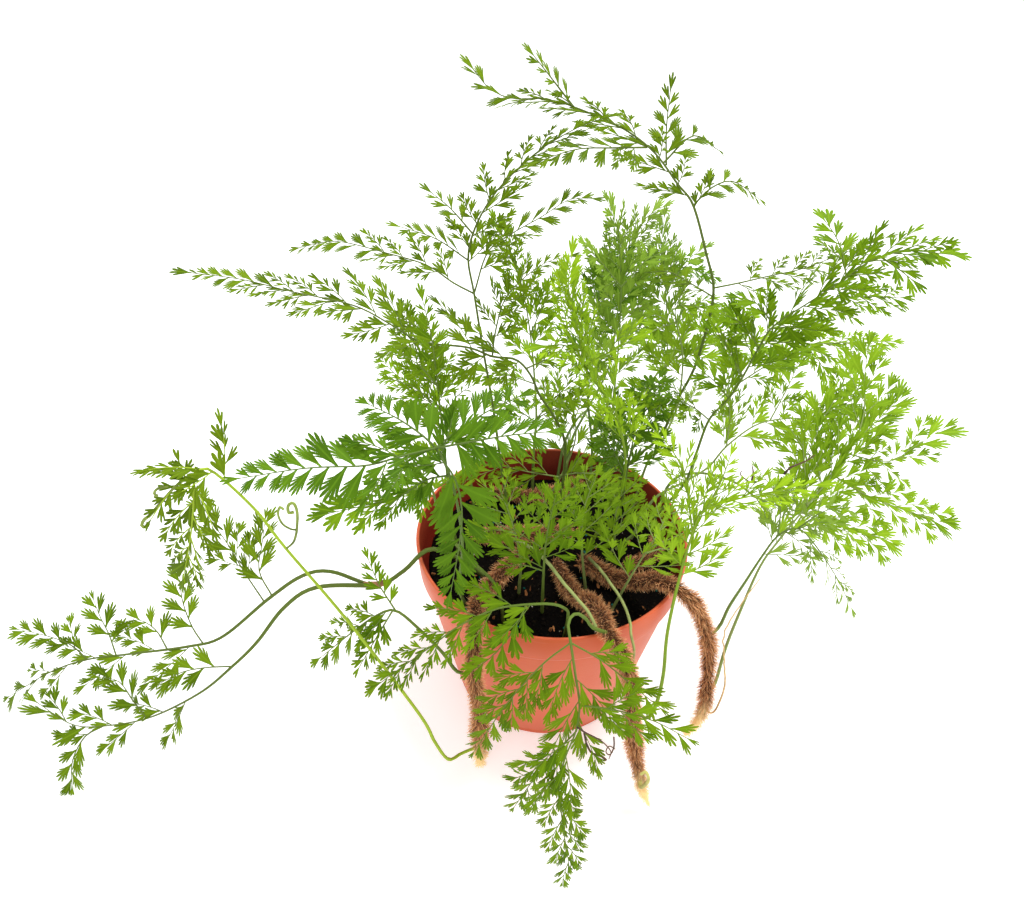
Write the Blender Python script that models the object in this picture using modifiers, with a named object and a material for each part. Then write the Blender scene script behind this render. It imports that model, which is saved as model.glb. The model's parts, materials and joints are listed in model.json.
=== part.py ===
"""Potted rabbit's foot fern: a nursery pot, its soil, furry rhizomes and lacy fronds.

Frame: metres, +Z up. The origin is the middle of the pot's flat underside, +Y runs
towards the back of the plant and +X to its right. Each frond is one grown piece, so it
is one closed solid: a stipe that runs on as the rachis, side branches (arms) and flat
pinna blades. The fronds' routes are in millimetres, because they are laid out by hand.
"""

import math

import bmesh
import bpy
import numpy as np
from mathutils import Vector

MM = 0.001
TOUCH_GAP = 0.0004          # air left between pieces that rest on each other

# Pot: a 12 cm nursery pot with a plain flared rim band
POT_HEIGHT = 0.0915
POT_RIM_RADIUS = 0.060
POT_FOOT_RADIUS = 0.0425
POT_WALL = 0.0016
RIM_BAND_HEIGHT = 0.0145
RIM_STEP = 0.0017           # how far the band stands out over the wall below it
FOOT_CHAMFER = 0.0012
POT_STEPS = 56
DRAIN_HOLES = 6
DRAIN_RADIUS = 0.0035
DRAIN_CIRCLE = 0.029

# Soil: fills the pot and is slightly crowned
SOIL_EDGE_Z = 0.0750
SOIL_CROWN = 0.0030

# Rhizomes: furry creeping stems
RHIZOME_RADIUS = 0.0042
RHIZOME_STEP = 0.0075
RHIZOME_TIP = (1.0, 0.96, 0.86, 0.62)

# Fronds
STIPE_RADIUS = 0.0009
TIP_RADIUS = 0.00045
RACHIS_STEP = 0.0135
LIGHT = (0.0, -0.45, 0.89)  # the blades face up and a little towards the front
BLADE_THICKNESS = 0.0006
BLADE_ANGLE = math.radians(62)
BLADE_CLEARANCE = 0.0027
BLADE_SHRINK = (1.0, 0.75, 0.5, 0.32)
SAMPLE = 0.0020

# Routes in millimetres. A point of two numbers lies on the soil.
RHIZOMES = {
    "rhizome_left": [(-12, -2), (-22, -17), (-28, -32, 87), (-30, -43, 95), (-31, -53, 99.5),
                     (-31, -62, 100), (-31, -67, 92), (-31, -67, 76), (-30, -66, 60),
                     (-29, -65, 42), (-29, -64, 23), (-29, -63, 6)],
    "rhizome_middle": [(2, -10), (7, -24), (12, -36, 88), (15, -44, 95), (18, -55, 99.5),
                       (20, -64, 101), (24, -70, 98), (28, -72, 88), (31, -72, 74),
                       (33, -71, 58), (36, -72, 38), (39, -75, 24), (43, -78, 10),
                       (45, -80, 6)],
    "rhizome_right": [(14, -8), (26, -17), (36, -25, 88), (42, -31, 96), (49, -39, 99.5), (57, -41, 93),
                      (63, -41, 80), (67, -41, 67), (69, -42, 54), (70, -44, 42),
                      (70, -47, 31), (67, -50, 22), (63, -52, 17)],
    "rhizome_inner": [(-34, 6), (-20, 7), (-6, 8), (9, 11)],
    "rhizome_edge": [(33, -9), (42, -6), (48, 2), (49, 8)],
    "rhizome_back": [(-28, 38), (-18, 36), (-6, 35), (7, 40), (14, 46)],
}

# name: (main route, arms, reach of the pinnae in mm, where the blade starts)
FRONDS = {
    "frond_low_left": (
        [(-30, -14), (-38, -16, 88), (-52, -19, 98), (-64, -21, 86), (-76, -23, 79),
         (-94, -24, 88), (-106, -26, 87), (-122, -28, 74), (-146, -30, 50), (-162, -32, 45),
         (-189, -34, 41), (-207, -36, 39), (-227, -36, 29), (-253, -36, 9)],
        [[(-76, -23, 79), (-98, -34, 89), (-111, -40, 83), (-124, -45, 66), (-136, -48, 53),
          (-153, -50, 36), (-176, -55, 24), (-195, -60, 24), (-205, -64, 31), (-214, -65, 48)],
         [(-194, -35, 41), (-199, -27, 46), (-204, -21, 51), (-208, -15, 55)],
         [(-171, -33, 44), (-178, -25, 47), (-186, -21, 49), (-193, -22, 49)],
         [(-207, -36, 39), (-217, -30, 42), (-229, -27, 44), (-241, -25, 45)],
         [(-124, -28, 72), (-134, -18, 80), (-142, -9, 87), (-152, 1, 94), (-158, 9, 100)],
         [(-120, -28, 76), (-126, -21, 84), (-125, -14, 93), (-124, -7, 101)],
         [(-155, -31, 46), (-161, -25, 51), (-167, -15, 58), (-170, -3, 67)],
         [(-195, -60, 24), (-203, -63, 20), (-208, -70, 12), (-208, -77, 3)],
         [(-178, -55, 24), (-185, -49, 28), (-192, -43, 33), (-199, -44, 37)],
         [(-136, -48, 53), (-147, -49, 53), (-157, -51, 52), (-166, -55, 49)]], 20, 0.30),
    "frond_lime_left": (
        [(-33.4, -66.2, 23), (-37, -68, 23), (-42, -74, 28), (-47, -76, 44), (-52, -78, 66), (-73, -82, 125),
         (-89, -84, 163), (-95, -86, 181), (-103, -90, 199), (-106, -94, 201),
         (-107, -98, 193), (-110, -100, 181), (-115, -101, 166)],
        [[(-106, -94, 201), (-110, -95, 199), (-114, -98, 196), (-118, -102, 191)],
         [(-107, -97, 195), (-109, -94, 198), (-111, -91, 203)]], 17, 0.62),
    "frond_front_dark": (
        [(-34, -34), (-37, -45, 98), (-37, -56, 118), (-35, -62, 140), (-35, -69, 163),
         (-37, -74, 184), (-41, -77, 199), (-51, -70, 203), (-63, -60, 202)],
        [[(-41, -77, 199), (-51, -84, 201), (-60, -87, 200), (-76, -90, 201), (-94, -94, 200)],
         [(-41, -77, 199), (-29, -82, 206), (-19, -84, 210), (-9, -86, 213)],
         [(-40, -77, 196), (-35, -81, 190), (-33, -86, 181), (-34, -92, 171), (-36, -98, 160)],
         [(-41, -77, 199), (-34, -71, 202), (-25, -65, 205), (-17, -61, 207)],
         [(-37, -75, 187), (-44, -76, 186), (-50, -80, 184), (-55, -84, 182)]], 26, 0.76),
    "frond_upper_left": (
        [(0, 18), (4, 15, 100), (4, 14, 130), (-2, 12, 147), (-8, 10, 158), (-12, 8, 169),
         (-18, 5, 178), (-27, 2, 181), (-36, 0, 186), (-53, -5, 191), (-62, -8, 199),
         (-75, -10, 208), (-96, -12, 214), (-111, -14, 219), (-127, -16, 222)],
        [[(-27, 2, 181), (-26, 3, 191), (-23, 5, 203), (-17, 6, 211), (-8, 9, 217),
          (0, 12, 218)],
         [(-14, 8, 172), (-6, 15, 172), (6, 22, 173)]], 24, 0.46),
    "frond_tall_left": (
        [(-18, 15), (-23, 20, 110), (-27, 24, 140), (-32, 26, 172), (-35, 25, 195),
         (-37, 23, 210), (-35, 20, 222), (-30, 17, 234), (-23, 13, 245), (-12, 9, 257),
         (0, 5, 266), (8, 2, 270)],
        [[(-35, 25, 195), (-43, 24, 200), (-53, 26, 206), (-68, 29, 209), (-88, 32, 212),
          (-103, 34, 208)],
         [(-35, 25, 195), (-30, 30, 210), (-21, 32, 217), (-10, 32, 224), (0, 32, 231),
          (8, 31, 232)],
         [(-37, 23, 210), (-48, 15, 222), (-60, 11, 228)],
         [(-35, 20, 222), (-43, 23, 230), (-50, 25, 235)]], 16, 0.62),
    "frond_tallest": (
        [(28, 30), (35, 33, 103), (49, 38, 117), (54, 39, 136), (59, 38, 155), (61, 37, 178),
         (60, 35, 195), (54, 32, 211), (45, 27, 232), (37, 22, 242), (27, 18, 254),
         (15, 14, 263), (-2, 9, 271), (-12, 6, 274), (-21, 2, 275), (-28, 0, 278),
         (-33, -2, 284)],
        [[(60, 35, 195), (72, 42, 194), (86, 49, 194), (100, 54, 195), (114, 58, 199),
          (134, 62, 206)],
         [(61, 37, 190), (54, 50, 189), (46, 60, 189), (36, 70, 183)],
         [(45, 27, 232), (51, 31, 237), (60, 36, 238), (72, 40, 230)],
         [(32, 20, 249), (31, 24, 260), (31, 26, 272)],
         [(-2, 9, 271), (-10, 5, 281), (-15, 3, 287)],
         [(24, 17, 256), (11, 4, 260), (-1, -4, 262), (-13, -10, 260)],
         [(31, 20, 250), (41, 27, 257), (52, 34, 250)]], 15, 0.66),
    "frond_right_high": (
        [(30, 4), (44, 10, 90), (58, 15, 108), (61, 16, 124), (64, 17, 143), (70, 16, 155),
         (73, 14, 167), (76, 12, 182), (79, 10, 193), (88, 5, 206), (97, 1, 218),
         (102, -2, 226), (112, -4, 231), (127, -6, 231)],
        [[(73, 14, 167), (64, 7, 182), (58, 2, 191), (50, -4, 198)],
         [(76, 12, 182), (67, 11, 193), (57, 8, 199)],
         [(79, 10, 193), (72, 14, 200), (66, 16, 201)],
         [(64, 17, 143), (55, 10, 154), (46, 4, 162), (35, -2, 168), (25, -7, 175)],
         [(72, 15, 163), (86, 22, 169), (99, 28, 171)],
         [(88, 5, 206), (105, 10, 206), (125, 14, 204)],
         [(97, 1, 218), (96, 8, 224), (94, 14, 228), (91, 19, 231)],
         [(70, 16, 155), (63, 21, 161), (56, 24, 164)],
         [(78, 11, 191), (88, 12, 192), (97, 14, 193)],
         [(105, -3, 228), (110, -7, 226), (114, -11, 224)]], 17, 0.56),
    "frond_mid_back": (
        [(26, 40), (30, 45, 98), (42, 59, 113), (47, 65, 130), (56, 67, 141), (68, 69, 147),
         (93, 72, 149), (121, 76, 146), (140, 78, 146), (161, 80, 146)],
        [[(68, 69, 147), (66, 67, 156), (64, 70, 166)],
         [(93, 72, 149), (100, 68, 144), (105, 62, 137)],
         [(117, 75, 146), (125, 71, 140), (130, 65, 133)]], 24, 0.42),
    "frond_fan": (
        [(38, 12), (46, 16, 98), (60, 22, 104), (71, 27, 109), (78, 30, 119), (91, 35, 128),
         (106, 39, 129), (117, 42, 127), (129, 47, 129), (144, 53, 136)],
        [[(78, 30, 119), (75, 25, 138), (70, 20, 158), (68, 22, 172)],
         [(117, 42, 127), (139, 50, 121), (155, 58, 124)],
         [(97, 37, 129), (102, 43, 137), (107, 50, 145), (110, 56, 153)],
         [(120, 43, 127), (129, 49, 135), (133, 56, 143), (135, 63, 151)]], 22, 0.46),
    "frond_right_mass": (
        [(73, -41.1, 37), (76, -37, 36), (79, -30, 51), (83, -24, 67), (89, -17, 90), (96, -11, 100),
         (110, 0, 115), (118, 6, 124), (122, 11, 132), (131, 17, 139), (146, 27, 150)],
        [[(118, 6, 124), (132, 4, 116), (149, 0, 111), (168, -4, 107)],
         [(122, 11, 132), (145, 17, 123), (156, 21, 128), (168, 25, 136)],
         [(108, -2, 113), (104, 8, 133), (102, 13, 145)],
         [(127, 14, 136), (130, 22, 146), (130, 31, 156), (131, 39, 167)],
         [(114, 3, 119), (111, 11, 130), (111, 20, 140), (113, 28, 149)],
         [(106, -3, 110), (116, -6, 109), (128, -10, 107), (141, -13, 105)]], 28, 0.55),
    "frond_right_droop": (
        [(69.4, -37.6, 72.2), (72, -35, 73), (74, -34, 84), (79, -31, 96), (84, -28, 108), (88, -28, 120),
         (93, -32, 128), (99, -38, 125), (110, -42, 111), (118, -45, 98)],
        [[(88, -28, 120), (87, -22, 133), (79, -15, 142)],
         [(93, -32, 128), (98, -38, 143), (106, -42, 149)]], 20, 0.42),
    "frond_lime_front": (
        [(35.3, -75.1, 66.1), (37, -77, 66), (39, -79, 78), (39, -80, 98), (37, -81, 122), (37, -81, 146),
         (38, -81, 168), (40, -81, 181), (50, -83, 188), (59, -85, 193), (68, -87, 197)],
        [[(38, -81, 172), (33, -79, 192), (28, -77, 201), (22, -75, 207)],
         [(41, -81, 182), (42, -85, 196), (42, -88, 208)]], 20, 0.60),
    "frond_front_droop": (
        [(16.7, -65.4, 104.3), (13, -67, 108), (10, -68, 114), (6, -70, 119), (3, -75, 120), (4, -80, 115),
         (6, -87, 106), (8, -92, 95), (7, -97, 86), (3, -104, 78), (2, -108, 66),
         (4, -112, 50), (8, -116, 24)],
        [[(4, -80, 115), (-6, -84, 107), (-18, -88, 89), (-30, -91, 62)],
         [(4, -80, 115), (15, -86, 113), (25, -90, 106), (36, -94, 98)],
         [(8, -92, 95), (18, -98, 102), (32, -102, 102), (44, -106, 98)],
         [(7, -97, 86), (-3, -101, 72), (-14, -101, 40)]], 13, 0.24),
    "frond_front_left": (
        [(5, -46), (5, -54, 98), (3, -61, 111), (-4, -64, 117), (-20, -67, 118),
         (-28, -70, 117), (-37, -73, 113), (-46, -77, 107), (-60, -82, 97), (-66, -84, 92)],
        [[(-12, -66, 118), (-16, -73, 113), (-23, -79, 106), (-31, -82, 100)]], 14, 0.34),
    "frond_bud_left": (
        [(-35.9, -66.3, 78), (-38, -66, 78), (-43, -68, 92), (-51, -70, 108), (-59, -70, 118), (-66, -70, 115),
         (-76, -70, 105), (-89, -72, 92)],
        [[(-59, -70, 118), (-65, -65, 126), (-69, -60, 134)],
         [(-60, -70, 118), (-66, -77, 110), (-72, -82, 100)]], 15, 0.50),
    "frond_low_mid": (
        [(-20, -42), (-23, -46, 105), (-35, -49, 126), (-43, -51, 143), (-45, -54, 160),
         (-46, -60, 170), (-50, -68, 174), (-60, -76, 176), (-74, -84, 178)],
        [[(-46, -60, 170), (-53, -50, 174), (-61, -40, 175)]], 22, 0.58),
    "frond_mid_up": (
        [(-40, -8), (-43, -13, 110), (-44, -17, 140), (-45, -19, 165), (-46, -20, 185),
         (-47, -22, 203), (-49, -25, 219)],
        [[(-45, -19, 168), (-52, -27, 185), (-60, -34, 194)],
         [(-46, -20, 182), (-51, -27, 195), (-57, -32, 203)],
         [(-45, -19, 165), (-40, -11, 171), (-34, -4, 172)]], 18, 0.55),
    "frond_center_dark": (
        [(30, 14), (31, 11, 100), (31, 9, 118), (31, 5, 137), (31, -1, 156), (32, -7, 171),
         (34, -14, 184)],
        [[(31, 7, 128), (24, 7, 146), (20, 4, 163)],
         [(31, 9, 117), (22, 3, 138), (14, -1, 152)],
         [(31, 3, 144), (37, 0, 157), (41, -3, 164)]], 16, 0.36),
    "frond_lime_center": (
        [(18, 4), (23, -4, 110), (26, -16, 142), (18, -29, 178), (12, -34, 190), (8, -38, 198),
         (4, -41, 206), (1, -43, 219), (-3, -44, 234), (-3, -46, 246)],
        [[(4, -41, 206), (10, -45, 213), (16, -49, 220)],
         [(2, -42, 212), (-4, -47, 217), (-9, -51, 219)]], 16, 0.62),
    "frond_top_center": (
        [(6, 30), (16, 40, 94), (27, 52, 112), (29, 61, 134), (29, 67, 156), (28, 70, 176),
         (26, 70, 190), (24, 68, 202), (18, 64, 217)],
        [[(28, 70, 176), (18, 64, 190), (9, 58, 201)],
         [(28, 70, 176), (38, 74, 187), (47, 76, 191)]], 24, 0.42),
    "frond_top_dark": (
        [(18, 32), (20, 48, 99), (18, 66, 114), (17, 84, 134), (21, 95, 151), (31, 101, 160),
         (42, 105, 165), (56, 109, 167), (68, 112, 165), (79, 114, 160)],
        [[(21, 95, 151), (22, 95, 172), (25, 93, 185)],
         [(31, 101, 160), (43, 107, 152), (56, 111, 139)]], 24, 0.45),
    "frond_top_right": (
        [(34, 41), (39, 47, 102), (49, 66, 112), (56, 81, 122), (56, 90, 140), (53, 94, 160),
         (50, 95, 176), (47, 92, 189), (46, 88, 201)],
        [[(52, 95, 166), (43, 91, 180), (36, 86, 188)],
         [(53, 94, 162), (61, 99, 175), (69, 101, 181)]], 22, 0.45),
    "frond_pale_back": (
        [(8, 49), (10, 54, 100), (19, 74, 107), (30, 96, 118), (33, 109, 142), (36, 116, 166),
         (41, 117, 186), (49, 114, 195)],
        [[(33, 109, 142), (22, 108, 168), (13, 104, 181)]], 16, 0.50),
    "frond_shelf": (
        [(40, 32), (45, 37, 102), (53, 47, 110), (59, 56, 124), (58, 59, 148), (52, 56, 167),
         (50, 50, 178), (58, 43, 182), (69, 36, 183)],
        [[(52, 56, 167), (43, 47, 169), (34, 38, 169)]], 20, 0.52),
    "frond_back_low": (
        [(4, 50), (8, 60, 98), (20, 84, 98), (34, 108, 70), (48, 128, 48), (66, 143, 46),
         (86, 149, 57), (92, 150, 76)],
        [[(48, 128, 48), (34, 133, 50), (20, 138, 58)]], 24, 0.40),
    "frond_right_low": (
        [(48, 18), (54, 24, 101), (68, 31, 102), (86, 34, 95), (100, 35, 84), (113, 40, 75),
         (130, 48, 63), (156, 56, 45), (181, 60, 35)],
        [[(113, 40, 75), (117, 38, 95), (119, 36, 106)],
         [(130, 48, 63), (147, 58, 66), (160, 66, 68)]], 24, 0.44),
    "frond_back_left": (
        [(-8, 44), (-8, 51, 99), (-7, 66, 105), (-8, 83, 114), (-11, 98, 134), (-16, 105, 157),
         (-22, 107, 174), (-29, 107, 189)],
        [[(-11, 98, 134), (-3, 104, 152), (4, 109, 162)]], 20, 0.46),
    "frond_left_back": (
        [(-36, 28), (-39, 34, 99), (-46, 44, 108), (-54, 52, 121), (-60, 54, 140),
         (-64, 50, 160), (-66, 42, 178)],
        [[(-54, 52, 121), (-66, 58, 128), (-76, 66, 130), (-84, 78, 131)]], 26, 0.40),
    "frond_shelf_center": (
        [(-6, 26), (4, 29, 98), (10, 33, 118), (8, 35, 130), (1, 32, 140), (-8, 27, 147)],
        [], 14, 0.55),
    "frond_inner_left": (
        [(-14, -24), (-14, -30, 104), (-18, -34, 130), (-23, -38, 150)],
        [[(-16, -33, 122), (-23, -32, 123), (-31, -33, 122)]], 13, 0.35),
    "frond_inner_front": (
        [(-4, -34), (-5, -43, 112), (-5, -49, 138), (-3, -52, 160)],
        [[(-5, -47, 130), (1, -44, 134), (7, -40, 139)],
         [(-5, -43, 112), (-13, -42, 114), (-20, -42, 113)]], 13, 0.35),
    "frond_inner_mid": (
        [(15, -21), (11, -26, 108), (10, -28, 131), (13, -30, 150)],
        [[(10, -27, 120), (6, -22, 126), (1, -17, 133)]], 13, 0.35),
    "frond_inner_right": (
        [(25, -5), (26, -13, 98), (24, -18, 117), (25, -21, 136)],
        [[(25, -16, 109), (33, -13, 113), (41, -12, 114)]], 12, 0.35),
    "frond_inner_rim": (
        [(25, -33), (31, -37, 106), (37, -40, 130), (40, -43, 150)],
        [[(34, -39, 119), (41, -37, 120), (49, -38, 119)]], 14, 0.35),
}

ROOTLET = [(74.5, -47.1, 28.3), (77, -46, 40), (76, -46, 52), (73, -46, 66), (70, -47, 84),
           (74, -46, 100), (79, -44, 112)]
ROOTLET_RADIUS = 0.0005
FIDDLEHEAD = [(39.5, -80.5, 21.7), (41.2, -82, 27), (41.5, -82, 31.5), (40, -81.5, 35),
              (38.2, -81.5, 33)]
FIDDLEHEAD_RADIUS = 0.0010

GREENS = {
    "lime": (0.42, 0.62, 0.03),
    "fresh": (0.17, 0.40, 0.02),
    "dark": (0.07, 0.24, 0.04),
    "pale": (0.25, 0.40, 0.12),
}
FROND_GREEN = {
    "frond_lime_left": "lime", "frond_lime_front": "lime", "frond_lime_center": "lime",
    "frond_front_dark": "dark", "frond_center_dark": "dark", "frond_top_dark": "dark",
    "frond_pale_back": "pale", "frond_back_low": "pale", "frond_right_low": "pale",
    "frond_right_droop": "pale",
}


def clear_scene():
    """Remove the objects that the scene starts with."""
    for obj in list(bpy.data.objects):
        bpy.data.objects.remove(obj, do_unlink=True)


def new_collection(name):
    """Make a collection in the scene."""
    collection = bpy.data.collections.new(name)
    bpy.context.scene.collection.children.link(collection)
    return collection


def material(name, colour, roughness, metallic=0.0):
    """Make a Principled material."""
    mat = bpy.data.materials.new(name)
    mat.use_nodes = True
    shader = mat.node_tree.nodes["Principled BSDF"]
    shader.inputs["Base Color"].default_value = (*colour, 1.0)
    shader.inputs["Roughness"].default_value = roughness
    shader.inputs["Metallic"].default_value = metallic
    return mat


def add_object(name, data, collection, mat=None):
    """Link new data to the collection as an object."""
    obj = bpy.data.objects.new(name, data)
    collection.objects.link(obj)
    if mat is not None:
        data.materials.append(mat)
    return obj


def mesh_from(bm, name):
    """Turn a bmesh into mesh data."""
    mesh = bpy.data.meshes.new(name)
    bm.to_mesh(mesh)
    bm.free()
    return mesh


def ground(x, y):
    """Height of the crowned soil at a place, in metres."""
    return SOIL_EDGE_Z + SOIL_CROWN * (1 - (math.hypot(x, y) / POT_RIM_RADIUS) ** 2)


def to_metres(route, lift):
    """A hand-laid route in metres; a point of two numbers is put on the soil."""
    points = []
    for point in route:
        x, y = point[0] * MM, point[1] * MM
        z = point[2] * MM if len(point) == 3 else ground(x, y) + lift
        points.append((x, y, z))
    return np.array(points)


def smooth_route(points, step):
    """Points at an even step along the Catmull-Rom curve through a route."""
    ends = np.vstack([2 * points[0] - points[1], points, 2 * points[-1] - points[-2]])
    fine = []
    for i in range(len(points) - 1):
        a, b, c, d = ends[i:i + 4]
        for t in np.linspace(0, 1, 12, endpoint=False):
            fine.append(0.5 * (2 * b + (c - a) * t + (2 * a - 5 * b + 4 * c - d) * t ** 2
                               + (3 * b - a - 3 * c + d) * t ** 3))
    fine = np.array(fine + [points[-1]])
    along = np.concatenate([[0], np.cumsum(np.linalg.norm(np.diff(fine, axis=0), axis=1))])
    count = max(2, int(round(along[-1] / step)) + 1)
    places = np.linspace(0, along[-1], count)
    return np.stack([np.interp(places, along, fine[:, k]) for k in range(3)], axis=1)


def tangents(points):
    """Unit directions along a route."""
    direction = np.gradient(points, axis=0)
    return direction / np.linalg.norm(direction, axis=1)[:, None]


def sides(direction, light=LIGHT):
    """Unit vectors across a blade that faces the light, one for each direction."""
    across = []
    for t in direction:
        side = np.cross(t, light)
        length = np.linalg.norm(side)
        if length < 0.3 and across:
            side = across[-1] - t * np.dot(across[-1], t)
            length = np.linalg.norm(side)
        across.append(side / length)
    return np.array(across)


def screw_object(name, profile, collection, mat):
    """A turned solid: the profile starts and ends on the axis."""
    mesh = bpy.data.meshes.new(name)
    verts = [(x, 0.0, z) for x, z in profile]
    mesh.from_pydata(verts, [(i, i + 1) for i in range(len(verts) - 1)], [])
    obj = add_object(name, mesh, collection, mat)
    turn = obj.modifiers.new("turn", "SCREW")
    turn.steps = POT_STEPS
    turn.render_steps = POT_STEPS
    turn.use_merge_vertices = True
    turn.merge_threshold = 0.00005
    turn.use_smooth_shade = True
    return obj


def build_pot(parts, cutters):
    """Thin-walled tapered pot with a flared rim band and drain holes in its floor."""
    band_z = POT_HEIGHT - RIM_BAND_HEIGHT
    wall_top = POT_RIM_RADIUS - RIM_STEP - 0.0012
    inner_top = POT_RIM_RADIUS - POT_WALL
    profile = [
        (0.0, POT_WALL),
        (POT_FOOT_RADIUS - POT_WALL - 0.0006, POT_WALL),
        (POT_FOOT_RADIUS - POT_WALL + 0.0006, POT_WALL + 0.0016),
        (wall_top - POT_WALL, band_z - 0.0004),
        (inner_top - 0.0012, band_z + 0.0022),
        (inner_top, POT_HEIGHT - 0.0007),
        (inner_top + 0.0005, POT_HEIGHT),
        (POT_RIM_RADIUS - 0.0005, POT_HEIGHT),
        (POT_RIM_RADIUS, POT_HEIGHT - 0.0007),
        (POT_RIM_RADIUS - 0.0011, band_z + 0.0006),
        (POT_RIM_RADIUS - 0.0018, band_z),
        (wall_top, band_z - 0.0003),
        (POT_FOOT_RADIUS + FOOT_CHAMFER * 0.4, FOOT_CHAMFER),
        (POT_FOOT_RADIUS - FOOT_CHAMFER, 0.0),
        (0.0, 0.0),
    ]
    pot = screw_object("pot", profile, parts, material("pot_plastic", (0.62, 0.22, 0.13), 0.5))
    for k in range(DRAIN_HOLES):
        angle = 2 * math.pi * k / DRAIN_HOLES
        bm = bmesh.new()
        bmesh.ops.create_cone(bm, cap_ends=True, segments=16, radius1=DRAIN_RADIUS,
                              radius2=DRAIN_RADIUS, depth=4 * POT_WALL)
        hole = add_object(f"drain_cutter_{k + 1}", mesh_from(bm, "drain"), cutters)
        hole.location = (DRAIN_CIRCLE * math.cos(angle), DRAIN_CIRCLE * math.sin(angle),
                         POT_WALL / 2)
        hole.hide_render = True
        hole.display_type = "WIRE"
        cut = pot.modifiers.new(f"drain_{k + 1}", "BOOLEAN")
        cut.operation = "DIFFERENCE"
        cut.solver = "EXACT"
        cut.object = hole


def build_soil(parts):
    """Crowned plug of potting mix that follows the pot's inner wall."""
    gap = TOUCH_GAP
    floor_z = POT_WALL + gap
    band_z = POT_HEIGHT - RIM_BAND_HEIGHT
    foot = POT_FOOT_RADIUS - POT_WALL - 0.0006 - gap
    wall_top = POT_RIM_RADIUS - RIM_STEP - 0.0012 - POT_WALL
    taper = (wall_top - POT_FOOT_RADIUS + POT_WALL - 0.0006) / (band_z - POT_WALL - 0.0020)
    edge = wall_top - gap * 1.5 - (band_z - SOIL_EDGE_Z) * taper
    radii = [0.0, 0.018, 0.034, 0.046]
    profile = [(r, ground(r, 0)) for r in radii]
    profile += [(edge, SOIL_EDGE_Z), (foot + 0.0004, floor_z + 0.0022), (foot - 0.0010, floor_z),
                (0.0, floor_z)]
    screw_object("soil", profile, parts, material("potting_mix", (0.035, 0.024, 0.018), 0.95))


def tube(name, points, radii, parts, mat):
    """A round closed tube along points, with its own radius at each."""
    curve = bpy.data.curves.new(name, "CURVE")
    curve.dimensions = "3D"
    curve.bevel_depth = 1.0
    curve.bevel_resolution = 2
    curve.use_fill_caps = True
    spline = curve.splines.new("POLY")
    spline.points.add(len(points) - 1)
    for node, point, radius in zip(spline.points, points, radii):
        node.co = (*point, 1.0)
        node.radius = radius
    return add_object(name, curve, parts, mat)


def build_rhizomes(parts):
    """Creeping stems: three hang over the rim, the rest lie on the soil."""
    mat = material("rhizome_fur", (0.30, 0.15, 0.07), 0.9)
    for name, route in RHIZOMES.items():
        points = to_metres(route, RHIZOME_RADIUS + TOUCH_GAP)
        points = smooth_route(points, RHIZOME_STEP)
        radii = np.full(len(points), RHIZOME_RADIUS)
        radii[-len(RHIZOME_TIP):] *= RHIZOME_TIP
        radii[0] *= 0.7
        tube(name, points, radii, parts, mat)


def ring(centre, direction, side, half_width, half_thickness):
    """Four corners round a route's point, in order."""
    up = np.cross(side, direction)
    corners = [side * half_width, up * half_thickness, -side * half_width,
               -up * half_thickness]
    return [centre + corner for corner in corners]


def extrude_to(bm, face, corners):
    """Extrude a face and put its four corners on a new ring, without a twist."""
    new_face = bmesh.ops.extrude_discrete_faces(bm, faces=[face])["faces"][0]
    verts = [loop.vert for loop in new_face.loops]
    options = []
    for order in (corners, corners[::-1]):
        for shift in range(4):
            turned = order[shift:] + order[:shift]
            reach = sum((v.co - Vector(c)).length for v, c in zip(verts, turned))
            options.append((reach, turned))
    best = min(options, key=lambda option: option[0])[1]
    for vert, corner in zip(verts, best):
        vert.co = Vector(corner)
    return new_face


def grow_stem(bm, face, points, direction, side, radii):
    """Extrude a face ring by ring along the points after the first."""
    for i in range(1, len(points)):
        face = extrude_to(bm, face, ring(points[i], direction[i], side[i], radii[i], radii[i]))


def side_face(bm, place, towards):
    """The stem's face that is nearest a place and looks towards a direction."""
    def misfit(face):
        facing = face.normal.dot(Vector(towards))
        return (face.calc_center_median() - Vector(place)).length + 0.02 * (1 - facing)
    quads = [face for face in bm.faces if len(face.verts) == 4]
    return min(quads, key=misfit)


def filled(a, b, c):
    """Sample points over a flat triangle."""
    rows = max(2, int(math.ceil(np.linalg.norm(c - (a + b) / 2) / SAMPLE)))
    points = []
    for i in range(rows + 1):
        v = i / rows
        left, right = a + (c - a) * v, b + (c - b) * v
        columns = max(1, int(math.ceil(np.linalg.norm(right - left) / SAMPLE)))
        points += [left + (right - left) * j / columns for j in range(columns + 1)]
    return np.array(points)


def nearest(points, cloud):
    """Smallest distance between two sets of points."""
    if len(cloud) == 0:
        return math.inf
    low, high = points.min(axis=0) - 0.01, points.max(axis=0) + 0.01
    near = cloud[np.all((cloud > low) & (cloud < high), axis=1)]
    if len(near) == 0:
        return math.inf
    return np.sqrt(((points[:, None] - near[None]) ** 2).sum(axis=2).min())


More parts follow.
